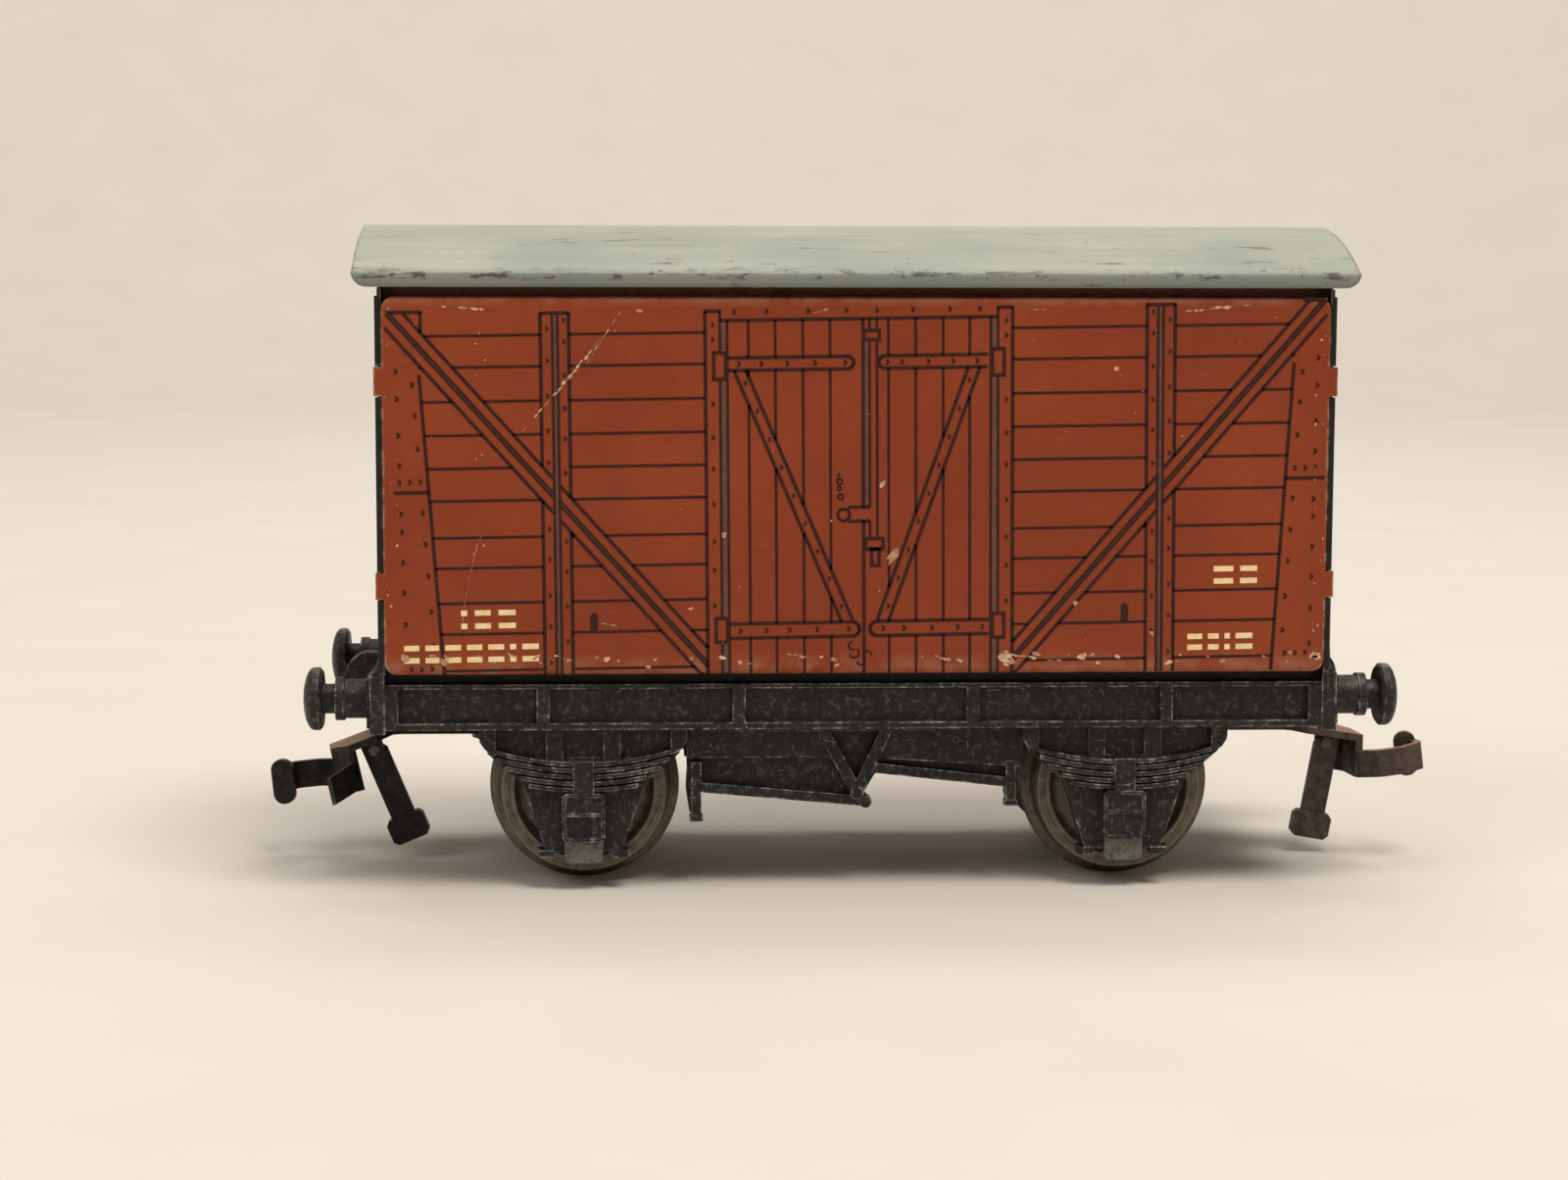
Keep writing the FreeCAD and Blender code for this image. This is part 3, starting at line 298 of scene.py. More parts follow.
def doors(ink, shade):
    """Both doors with their straps, locking bar, handle and chains."""
    bottom = PRINT_FOOT
    centre = PRINT_CENTRE
    straps = [[(-9.5, 38.6), (-0.3, 38.6), (-0.3, 39.5), (-9.5, 39.5)],
              [(1.5, 38.6), (9.5, 38.6), (9.5, 39.5), (1.5, 39.5)],
              [(-9.45, 19.15), (0.05, 19.15), (0.05, 20.2), (-9.45, 20.2)],
              [(0.8, 19.15), (9.6, 19.15), (9.6, 20.2), (0.8, 20.2)]]
    slants = [[(-8.95, 38.6), (-1.25, 20.2), (-0.4, 20.2), (-8.1, 38.6)],
              [(8.0, 38.6), (1.3, 20.2), (2.15, 20.2), (8.85, 38.6)]]
    ink.line((centre - POST_IN, DOOR_TOP), (centre + POST_IN, DOOR_TOP))
    for distance in DOOR_BOARDS:
        for hand in (-1, 1):
            a = centre + hand * distance
            for piece in cut_line((a, DOOR_TOP), (a, bottom), straps + slants):
                ink.line(*piece, THIN)
    for a in (-8.96, -6.63, -3.63, -0.87, 1.34, 3.94, 6.61, 8.78):
        ink.rivet(a, 42.8)
    strap(ink, -9.4, -0.3, *STRAP_TOP, (-8.65, -7.02, -5.16, -3.16, -0.96))
    strap(ink, 9.4, 1.5, *STRAP_TOP, (2.1, 3.14, 5.06, 6.86, 8.6))
    strap(ink, -9.4, 0.05, *STRAP_FOOT, (-8.66, -6.77, -5.09, -3.09, -0.79))
    strap(ink, 9.5, 0.8, *STRAP_FOOT, (1.73, 3.24, 5.3, 7.19, 8.97))
    door_strap(ink, (-8.95, STRAP_TOP[0]), (-1.25, STRAP_FOOT[1]), 0.85)
    door_strap(ink, (8.0, STRAP_TOP[0]), (1.3, STRAP_FOOT[1]), 0.85)

    # Meeting line and locking bar
    meeting, bar_in, bar_out = 0.37, 0.84, 1.38
    brackets = [[(0.37, 40.65), (1.6, 40.65), (1.6, 41.35), (0.37, 41.35)],
                [(0.5, 25.5), (1.8, 25.5), (1.8, 26.25), (0.5, 26.25)]]
    handle = [(-0.6, 27.55), (0.9, 27.55), (0.9, 28.57), (-0.6, 28.57)]
    for piece in cut_line((meeting, DOOR_TOP), (meeting, bottom), [brackets[0], handle]):
        ink.line(*piece)
    for piece in cut_line((bar_in, DOOR_TOP), (bar_in, 26.25), brackets + [handle]):
        ink.line(*piece, THIN)
    for piece in cut_line((bar_out, DOOR_TOP), (bar_out, 26.25), brackets):
        ink.line(*piece, THIN)
    shade.line(((meeting + bar_in) / 2, 40.6), ((meeting + bar_in) / 2, 28.6), bar_in - meeting, 0)
    ink.frame(0.42, 1.55, 40.68, 41.33)
    ink.frame(0.52, 1.78, 25.5, 26.25)
    ink.frame(0.95, 1.48, 24.3, 25.5)
    ink.ring(-1.07, 28.02, 0.44)
    ink.line((-0.75, 28.57), (bar_in, 28.57))
    ink.line((-0.75, 27.55), (bar_in, 27.55))

    # Chains
    ink.ring(-1.3, 29.35, 0.2, 0.14, 12)
    ink.ring(-1.4, 29.95, 0.15, 0.12, 10)
    ink.ring(-1.35, 30.45, 0.2, 0.14, 12)
    ink.line((-1.55, 30.6), (-1.35, 31.1), 0.12)
    for a, b, radius, start, turn in ((-0.45, 18.45, 0.3, 100, 200), (-0.35, 17.9, 0.35, 60, -230),
                                      (0.15, 17.3, 0.28, 180, 240), (0.6, 17.75, 0.3, 250, -260)):
        ink.ring(a, b, radius, 0.13, 12, start, turn)


def arch_mark(ink, a, low, high, width=0.55):
    """Small filled slot with a round top."""
    radius = width / 2
    turns = [math.radians(angle) for angle in range(0, 181, 20)]
    dome = [(a + radius * math.cos(turn), high - radius + radius * math.sin(turn)) for turn in turns]
    ink.fill([(a - radius, low), (a + radius, low)] + dome, 3)


def plain_marks(cream, a, b, height, widths, gap):
    """Row of plain cream double dashes, where the van carries its painted figures."""
    for width in widths:
        for low in (b, b + height - DASH):
            cream.fill([(a, low), (a + width, low), (a + width, low + DASH), (a, low + DASH)], 4)
        a += width + gap


def scratch(cream, start, end, width, seed, share=0.7):
    """Scratch through the paint: a chain of slivers of uneven width."""
    rng = random.Random(seed)
    start, end = Vector(start), Vector(end)
    run = (end - start).normalized()
    across = Vector((-run.y, run.x))
    length = (end - start).length
    along = 0.0
    while along < length:
        step = rng.uniform(0.25, 0.9)
        if rng.random() < share:
            fade = math.sin(math.pi * min(1.0, (along + step / 2) / length)) ** 0.6
            half = width * rng.uniform(0.25, 0.6) * fade
            drift = across * rng.uniform(-0.05, 0.05)
            a, b = start + run * along + drift, start + run * (along + step) + drift
            middle = (a + b) / 2
            outline = [a, middle - across * half, b, middle + across * half * rng.uniform(0.4, 1.0)]
            cream.fill(outline, 5)
        along += step * rng.uniform(0.7, 1.1)


def chip(cream, a, b, size, seed, stretch=1.0, tilt=0.0):
    """Small ragged chip in the paint."""
    rng = random.Random(seed)
    outline = []
    turn = math.radians(tilt)
    for step in range(9):
        angle = math.radians(step * 40 + rng.uniform(-12, 12))
        reach = size * rng.uniform(0.45, 1.0)
        x, y = reach * math.cos(angle) * stretch, reach * math.sin(angle)
        outline.append((a + x * math.cos(turn) - y * math.sin(turn),
                        b + x * math.sin(turn) + y * math.cos(turn)))
    cream.fill(outline, 5)


def skewed(print_mesh):
    """The print sits slightly askew on its sheet."""
    for vert in print_mesh.verts:
        a, b = vert.co.x, vert.co.y
        vert.co.x = a - PRINT_LEAN * (b - SKEW_LEVEL)
        vert.co.y = b + PRINT_RISE * a


def wrapped(print_mesh, low, high, radius):
    """Rolls ink that runs past a fold round its bend, at the bottom and top edge."""
    for level in (low, high):
        toward = -1 if level == low else 1
        for step in range(5):
            geometry = print_mesh.verts[:] + print_mesh.edges[:] + print_mesh.faces[:]
            bmesh.ops.bisect_plane(print_mesh, geom=geometry, dist=1e-7,
                                   plane_co=(0, level + toward * step * 0.15, 0), plane_no=(0, 1, 0))
    for vert in print_mesh.verts:
        for level, toward in ((low, -1), (high, 1)):
            past = (vert.co.y - level) * toward
            if past > 0:
                angle = min(past / radius, math.pi / 2)
                reach = radius + vert.co.z
                vert.co.y = level + toward * reach * math.sin(angle)
                vert.co.z = reach * math.cos(angle) - radius


def put(print_mesh, name, place, material):
    """Turns collected ink into a piece. place maps (a, b, height) to CAD millimetres."""
    bmesh.ops.recalc_face_normals(print_mesh, faces=print_mesh.faces)
    for vert in print_mesh.verts:
        vert.co = Vector(place(*vert.co)) * MM
    data = bpy.data.meshes.new(name)
    bmesh.ops.recalc_face_normals(print_mesh, faces=print_mesh.faces)
    print_mesh.to_mesh(data)
    print_mesh.free()
    piece = bpy.data.objects.new(name, data)
    bpy.context.scene.collection.objects.link(piece)
    piece.data.materials.append(material)
    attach(piece, "wagon")


def side_print(side, inks):
    """All the printing on one side; the far side is the near one turned half round."""
    turn = -1 if side == "near" else 1
    low_corner, high_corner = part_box("body_side_" + side)
    face = max(abs(low_corner[1]), abs(high_corner[1])) / MM
    bottom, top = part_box("body_end_right")[0][2] / MM, high_corner[2] / MM

    def place(a, b, height):
        return -turn * a, turn * (face + height), b

    ink, shade, cream, wear = Print(), Print(), Print(), Print()
    for hand in (-1, 1):
        side_half(ink, shade, hand)
        arch_mark(ink, PRINT_CENTRE + hand * 19.35, 19.8, 21.2)
    doors(ink, shade)
    plain_marks(cream, -28.85, 20.2, 1.35, (0.45, 1.15, 1.25), 0.55)
    plain_marks(cream, -33.0, 17.75, 1.3, (1.1, 1.0, 1.15, 1.1, 1.15, 0.45, 1.2), 0.43)
    plain_marks(cream, 26.0, 22.5, 1.3, (1.45, 1.25), 0.5)
    plain_marks(cream, 24.1, 17.65, 1.2, (1.1, 0.8, 0.4, 1.25), 0.42)
    if side == "near":
        wear_near(wear)
    else:
        wear_far(wear)
    for layer in (ink, shade, cream):
        skewed(layer.mesh)
    low, high = bottom + PANEL_BEND, top - PANEL_BEND
    for layer in (ink, shade, cream, wear):
        wrapped(layer.mesh, low, high, PANEL_BEND)
    put(ink.mesh, "print_lines_" + side, place, inks["ink"])
    put(shade.mesh, "print_shading_" + side, place, inks["shade"])
    put(cream.mesh, "print_marks_" + side, place, inks["cream"])
    put(wear.mesh, "paint_scratches_" + side, place, inks["bare"])


def wear_near(wear):
    """Scratches and chips of the near side."""
    scratch(wear, (-17.0, 43.0), (-19.6, 39.0), 0.16, 1, 0.75)
    scratch(wear, (-18.6, 40.7), (-22.3, 36.3), 0.30, 2, 1.0)
    scratch(wear, (-21.6, 37.0), (-24.2, 34.2), 0.14, 3, 0.8)
    scratch(wear, (-31.2, 43.2), (-26.6, 42.75), 0.4, 4, 0.7)
    scratch(wear, (23.6, 42.7), (28.6, 43.3), 0.35, 5, 0.8)
    scratch(wear, (-3.4, 42.6), (-1.9, 42.95), 0.2, 6, 1.0)
    scratch(wear, (12.5, 42.9), (13.5, 42.9), 0.18, 7, 1.0)
    scratch(wear, (-27.2, 27.0), (-28.3, 23.2), 0.1, 8, 0.8)
    scratch(wear, (-28.3, 23.2), (-28.7, 19.4), 0.08, 9, 0.7)
    scratch(wear, (-18.7, 20.2), (-17.4, 19.95), 0.12, 10, 1.0)
    scratch(wear, (10.4, 17.9), (15.2, 17.2), 0.25, 11, 0.9)
    scratch(wear, (-5.2, 17.9), (-3.6, 17.6), 0.2, 12, 1.0)
    scratch(wear, (5.6, 17.7), (7.2, 17.2), 0.3, 13, 1.0)
    chip(wear, 2.6, 25.0, 0.42, 20, 1.9, 50)
    chip(wear, 1.75, 30.2, 0.25, 21, 1.8, 55)
    chip(wear, -9.75, 26.6, 0.28, 22)
    chip(wear, -15.85, 42.75, 0.2, 23, 1.5)
    chip(wear, 18.7, 38.6, 0.22, 24)
    chip(wear, 10.9, 17.5, 0.55, 25, 1.6, -25)
    chip(wear, 16.5, 17.6, 0.35, 26, 1.4)
    chip(wear, 15.9, 21.5, 0.25, 27, 1.0, 40)
    chip(wear, 21.6, 19.3, 0.22, 28)
    chip(wear, -32.8, 17.6, 0.4, 29, 1.3)
    chip(wear, 33.7, 17.6, 0.4, 30, 1.4)
    chip(wear, -30.0, 17.35, 0.35, 31, 1.5)
    chip(wear, -27.1, 25.8, 0.16, 32, 0.7)
    chip(wear, -12.1, 21.2, 0.16, 33, 1.6)
    chip(wear, -18.3, 17.5, 0.25, 34, 1.6)
    rng = random.Random(41)
    for index in range(46):
        chip(wear, rng.uniform(-33.5, 33.8), rng.uniform(16.9, 17.9), rng.uniform(0.05, 0.2), 100 + index,
             rng.uniform(1.0, 2.4), rng.uniform(-30, 30))
    for index in range(34):
        chip(wear, rng.uniform(-33.0, 33.0), rng.uniform(18.5, 43.0), rng.uniform(0.03, 0.09), 200 + index)
    for index in range(26):
        chip(wear, rng.choice((-1, 1)) * rng.uniform(33.3, 34.1), rng.uniform(17.5, 43.0),
             rng.uniform(0.05, 0.16), 300 + index, 0.8)


def wear_far(wear):
    """Scratches and chips of the side that faces away, in the same manner."""
    rng = random.Random(77)
    for index in range(7):
        a, b = rng.uniform(-28, 28), rng.uniform(20, 41)
        turn = rng.uniform(0.6, 2.4)
        reach = rng.uniform(1.5, 5.0)
        end = (a + reach * math.cos(turn), b - reach * math.sin(turn) * 0.5)
        scratch(wear, (a, b), end, 0.14, 400 + index)
    for index in range(50):
        a, b = rng.uniform(-33.5, 33.8), rng.uniform(16.9, 18.0)
        chip(wear, a, b, rng.uniform(0.05, 0.25), 500 + index, 1.6)
    for index in range(40):
        chip(wear, rng.uniform(-33.5, 33.5), rng.uniform(18.5, 43.0), rng.uniform(0.03, 0.12), 600 + index)


def end_print(side, inks):
    """Planks, framing and ventilator printed on one end."""
    turn = 1 if side == "right" else -1
    low_corner, high_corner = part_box("body_end_" + side)
    face = min(abs(low_corner[0]), abs(high_corner[0])) / MM + END_SHEET

    def place(a, b, height):
        return turn * (face + height), turn * a, b

    ink, shade = Print(), Print()
    bottom, top, half = 16.9, 43.6, 13.7
    posts = [[(low, bottom), (high, bottom), (high, top), (low, top)] for low, high in END_POSTS]
    vent_half, vent_low, vent_high = END_VENT
    vent = [(-vent_half, vent_low), (vent_half, vent_low), (vent_half, vent_high), (-vent_half, vent_high)]
    for height in PLANKS:
        for start, end in cut_line((-half, height), (half, height), posts + [vent]):
            ink.line(start, end, THIN)
    for low, high in END_POSTS:
        for a in (low, high):
            ink.line((a, bottom), (a, top))
        shade.line(((low + high) / 2, bottom), ((low + high) / 2, top), 0.35, 0)
        for step in range(11):
            ink.rivet(low + 0.3, 18.0 + step * 2.4, 0.17)
            ink.rivet(high - 0.3, 19.2 + step * 2.3, 0.17)
    ink.frame(-vent_half, vent_half, vent_low, vent_high)
    for step in range(1, 6):
        height = vent_low + step * 0.9
        ink.line((-vent_half, height), (vent_half, height), 0.3)
    put(ink.mesh, "print_lines_end_" + side, place, inks["ink"])
    put(shade.mesh, "print_shading_end_" + side, place, inks["shade"])


# ---- Procedural paint ----
def axle_place():
    """Middle of the right-hand axle, in millimetres."""
    return sum(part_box("axle_right"), Vector()) / 2 / MM


def colour(red, green, blue):
    """Linear colour from the 0 to 255 values seen on a screen."""
    def channel(value):
        value /= 255
        return value / 12.92 if value <= 0.04045 else ((value + 0.055) / 1.055) ** 2.4
    return channel(red), channel(green), channel(blue), 1.0


class Paint:
    """One node material. Coordinates and lengths inside it are in millimetres."""

    def __init__(self, name):
        self.material = bpy.data.materials.new(name)
        self.material.use_nodes = True
        self.tree = self.material.node_tree
        self.shader = self.tree.nodes["Principled BSDF"]
        self.shader.inputs["Specular IOR Level"].default_value = 0.3
        texture = self.node("ShaderNodeTexCoord")
        scale = self.node("ShaderNodeVectorMath", operation="SCALE")
        self.tree.links.new(texture.outputs["Object"], scale.inputs[0])
        scale.inputs["Scale"].default_value = 1 / MM
        self.place = scale.outputs[0]
        self.normal = None

    def node(self, kind, **settings):
        made = self.tree.nodes.new(kind)
        for name, value in settings.items():
            setattr(made, name, value)
        return made

    def feed(self, socket, value):
        if hasattr(value, "is_output"):
            self.tree.links.new(value, socket)
        else:
            socket.default_value = value

    def noise(self, scale, detail=3.0, roughness=0.55, distortion=0.0, stretch=None):
        """Noise between 0 and 1; scale is features per millimetre."""
        made = self.node("ShaderNodeTexNoise")
        place = self.place
        if stretch:
            mapping = self.node("ShaderNodeMapping")
            self.feed(mapping.inputs["Vector"], place)
            mapping.inputs["Scale"].default_value = stretch
            place = mapping.outputs[0]
        self.feed(made.inputs["Vector"], place)
        made.inputs["Scale"].default_value = scale
        made.inputs["Detail"].default_value = detail
        made.inputs["Roughness"].default_value = roughness
        made.inputs["Distortion"].default_value = distortion
        return made.outputs[0]

    def step(self, value, low, high, to_low=0.0, to_high=1.0):
        """Smooth step of a value from low to high."""
        made = self.node("ShaderNodeMapRange", interpolation_type="SMOOTHSTEP", clamp=True)
        self.feed(made.inputs["Value"], value)
        made.inputs["From Min"].default_value = low
        made.inputs["From Max"].default_value = high
        made.inputs["To Min"].default_value = to_low
        made.inputs["To Max"].default_value = to_high
        return made.outputs[0]

    def math(self, operation, first, second=0.0):
        made = self.node("ShaderNodeMath", operation=operation, use_clamp=False)
        self.feed(made.inputs[0], first)
        self.feed(made.inputs[1], second)
        return made.outputs[0]

    def mix(self, factor, first, second, blend="MIX"):
        made = self.node("ShaderNodeMix", data_type="RGBA", blend_type=blend)
        self.feed(made.inputs[0], factor)
        self.feed(made.inputs[6], first)
        self.feed(made.inputs[7], second)
        return made.outputs[2]

    def coordinate(self, axis):
        made = self.node("ShaderNodeSeparateXYZ")
        self.feed(made.inputs[0], self.place)
        return made.outputs[axis]

    def along(self):
        """Distance along the van from its middle, in millimetres."""
        return self.coordinate(0)

    def across(self):
        """Distance across the van from its middle, in millimetres."""
        return self.coordinate(1)

    def height(self):
        """Height above the wheel flanges' lowest point, in millimetres."""
        return self.coordinate(2)

    def turned(self, centre_x, centre_z):
        """Distance from a line across the van, the same at both ends of it, in millimetres."""
        x = self.math("SUBTRACT", self.math("ABSOLUTE", self.along()), centre_x)
        z = self.math("SUBTRACT", self.height(), centre_z)
        squares = self.math("ADD", self.math("MULTIPLY", x, x), self.math("MULTIPLY", z, z))
        return self.math("SQRT", squares)

    def rings(self, distance, scale):
        """Noise that only changes with the given distance."""
        place = self.node("ShaderNodeCombineXYZ")
        self.feed(place.inputs[0], distance)
        made = self.node("ShaderNodeTexNoise")
        self.feed(made.inputs["Vector"], place.outputs[0])
        made.inputs["Scale"].default_value = scale
        made.inputs["Detail"].default_value = 2.0
        return made.outputs[0]

    def facing_up(self):
        """1 on level faces that look up, 0 on upright ones."""
        geometry = self.node("ShaderNodeNewGeometry")
        made = self.node("ShaderNodeSeparateXYZ")
        self.feed(made.inputs[0], geometry.outputs["Normal"])
        return self.step(made.outputs[2], 0.3, 0.9)

    def edges(self, radius, low=0.02, high=0.25):
        """Mask of the edges, as wide as the radius in millimetres."""
        bevel = self.node("ShaderNodeBevel", samples=6)
        bevel.inputs["Radius"].default_value = radius * MM
        geometry = self.node("ShaderNodeNewGeometry")
        dot = self.node("ShaderNodeVectorMath", operation="DOT_PRODUCT")
        self.feed(dot.inputs[0], bevel.outputs[0])
        self.feed(dot.inputs[1], geometry.outputs["Normal"])
        return self.step(self.math("SUBTRACT", 1.0, dot.outputs["Value"]), low, high)

    def open_space(self, distance):
        """1 in the open, falling in corners and gaps narrower than the distance in millimetres."""
        made = self.node("ShaderNodeAmbientOcclusion", samples=6)
        made.inputs["Distance"].default_value = distance * MM
        return made.outputs["AO"]

    def soften(self, radius):
        """Rounds every edge in the shading by the radius in millimetres."""
        bevel = self.node("ShaderNodeBevel", samples=4)
        bevel.inputs["Radius"].default_value = radius * MM
        self.normal = bevel.outputs[0]

    def bump(self, height, depth):
        """Surface relief of the given depth in millimetres."""
        made = self.node("ShaderNodeBump")
        made.inputs["Strength"].default_value = 1.0
        made.inputs["Distance"].default_value = depth * MM
        self.feed(made.inputs["Height"], height)
        if self.normal is not None:
            self.feed(made.inputs["Normal"], self.normal)
        self.normal = made.outputs[0]

    def finish(self, base, roughness, metallic=0.0):
        self.feed(self.shader.inputs["Base Color"], base)
        self.feed(self.shader.inputs["Roughness"], roughness)
        self.feed(self.shader.inputs["Metallic"], metallic)
        if self.normal is not None:
            self.feed(self.shader.inputs["Normal"], self.normal)
        return self.material


def tinplate_paint(name="van_litho_brown", painted_shade_rims=False):
    """Red-brown lithographed tinplate, rubbed at the folds and dusty along the foot, with a painted
    highlight along its edges and painted shade in its corners and gaps. The end panels' rolled rims are
    painted black as shade."""
    paint = Paint(name)
    broad = paint.noise(0.06, 4.0, 0.6)
    grain = paint.noise(2.6, 3.0, 0.6)
    base = paint.mix(paint.step(broad, 0.35, 0.68), colour(132, 52, 18), colour(146, 62, 25))
    base = paint.mix(paint.step(grain, 0.3, 0.75, 0.0, 0.35), base, colour(124, 50, 26))
    stain = paint.step(paint.noise(0.14, 5.0, 0.65, 1.2), 0.56, 0.72, 0.0, 0.5)
    base = paint.mix(stain, base, colour(118, 54, 34))
    scuff = paint.step(paint.noise(0.5, 6.0, 0.7, 0.5, (0.35, 0.35, 1.6)), 0.63, 0.74, 0.0, 0.35)
    base = paint.mix(scuff, base, colour(162, 84, 54))
    level = paint.height()
    rub = paint.step(level, 18.2, 16.7)
    if not painted_shade_rims:
        rub = paint.math("MAXIMUM", rub, paint.step(level, 42.9, 43.6))
    rub = paint.math("MULTIPLY", rub, paint.step(paint.noise(0.5, 5.0, 0.65), 0.35, 0.62))
    base = paint.mix(paint.math("MULTIPLY", rub, 0.55), base, colour(160, 108, 84))
    edge = paint.edges(0.35)
    worn = paint.math("MULTIPLY", edge, paint.step(paint.noise(0.9, 6.0, 0.7), 0.46, 0.58))
    # Painted highlight: every edge and fold is lightened by half to a paler brown; the patchy bare spots
    # below are real wear.
    base = paint.mix(paint.math("MULTIPLY", edge, 0.5), base, colour(150, 92, 70))
    base = paint.mix(worn, base, colour(178, 158, 136))
    # Painted shade: corners and gaps narrower than 1.6 mm are darkened towards dark brown.
    painted_corner_shade = paint.step(paint.open_space(1.6), 0.85, 0.35)
    base = paint.mix(paint.math("MULTIPLY", painted_corner_shade, 0.75), base, colour(38, 20, 14))
    if painted_shade_rims:
        # Painted shade: the rolled rims at the ends face away from the light and are painted near black,
        # with worn spots lighter.
        rim = paint.step(paint.math("ABSOLUTE", paint.across()), 13.9, 14.0)
        base = paint.mix(rim, base, paint.mix(worn, colour(18, 15, 14), colour(120, 108, 96)))
    rough = paint.step(grain, 0.2, 0.8, 0.36, 0.5)
    rough = paint.math("ADD", rough, paint.math("MULTIPLY", rub, 0.15))
    paint.bump(paint.noise(1.1, 3.0, 0.5), 0.006)
    paint.bump(grain, 0.003)
    return paint.finish(base, rough, paint.math("MULTIPLY", worn, 0.35))


def roof_paint():
    """Pale grey-green painted roof, scratched to dark metal here and there, with painted shade on its
    fascia and in its corners.
    """
    paint = Paint("van_roof_grey_green")
    broad = paint.noise(0.05, 4.0, 0.6)
    base = paint.mix(paint.step(broad, 0.35, 0.68), colour(150, 156, 146), colour(168, 172, 158))
    streak = paint.step(paint.noise(0.6, 5.0, 0.6, 0.0, (0.12, 1.0, 1.0)), 0.42, 0.72, 0.0, 0.35)
    base = paint.mix(streak, base, colour(126, 134, 128))
    level = paint.height()
    # Painted shade: the upright fascia below 45.9 mm is darkened, as if it were lit less than the roof's
    # top.
    fascia_shade = paint.step(level, 45.9, 45.1, 0.0, 0.75)
    base = paint.mix(fascia_shade, base, colour(112, 121, 118))
    fold = paint.step(paint.math("ABSOLUTE", paint.math("SUBTRACT", level, 45.35)), 0.55, 0.15)
    chips = paint.step(paint.noise(1.0, 5.0, 0.7, 0.5, (0.45, 1.0, 1.6)), 0.55, 0.585)
    chips = paint.math("MULTIPLY", paint.math("MULTIPLY", fold, chips), 0.85)
    base = paint.mix(chips, base, colour(58, 56, 52))
    ends = paint.step(paint.math("ABSOLUTE", paint.along()), 31.0, 36.0)
    rubbed = paint.step(paint.noise(0.9, 6.0, 0.7, 0.4, (0.5, 1.0, 1.0)), 0.50, 0.60)
    rubbed = paint.math("MULTIPLY", rubbed, paint.math("MULTIPLY", ends, fold))
    base = paint.mix(rubbed, base, colour(86, 66, 50))
    speck = paint.step(paint.noise(1.7, 5.0, 0.72), 0.645, 0.68)
    base = paint.mix(paint.math("MULTIPLY", speck, 0.8), base, colour(96, 78, 62))
    scratch_mask = paint.step(paint.noise(1.1, 6.0, 0.6, 0.4, (0.18, 1.0, 1.0)), 0.64, 0.665)
    base = paint.mix(paint.math("MULTIPLY", scratch_mask, 0.7), base, colour(104, 86, 70))
    edge = paint.edges(0.3)
    worn = paint.math("MULTIPLY", edge, paint.step(paint.noise(0.8, 6.0, 0.7), 0.47, 0.56))
    base = paint.mix(worn, base, colour(74, 62, 54))
    # Painted shade: corners and gaps narrower than 1.2 mm are darkened.
    painted_corner_shade = paint.step(paint.open_space(1.2), 0.9, 0.4)
    base = paint.mix(paint.math("MULTIPLY", painted_corner_shade, 0.6), base, colour(40, 40, 36))
    paint.soften(0.5)
    paint.bump(paint.noise(0.35, 3.0, 0.5), 0.02)
    paint.bump(paint.noise(2.2, 3.0, 0.6), 0.004)
    rough = paint.step(broad, 0.2, 0.8, 0.34, 0.5)
    return paint.finish(base, rough, paint.math("MULTIPLY", worn, 0.3))


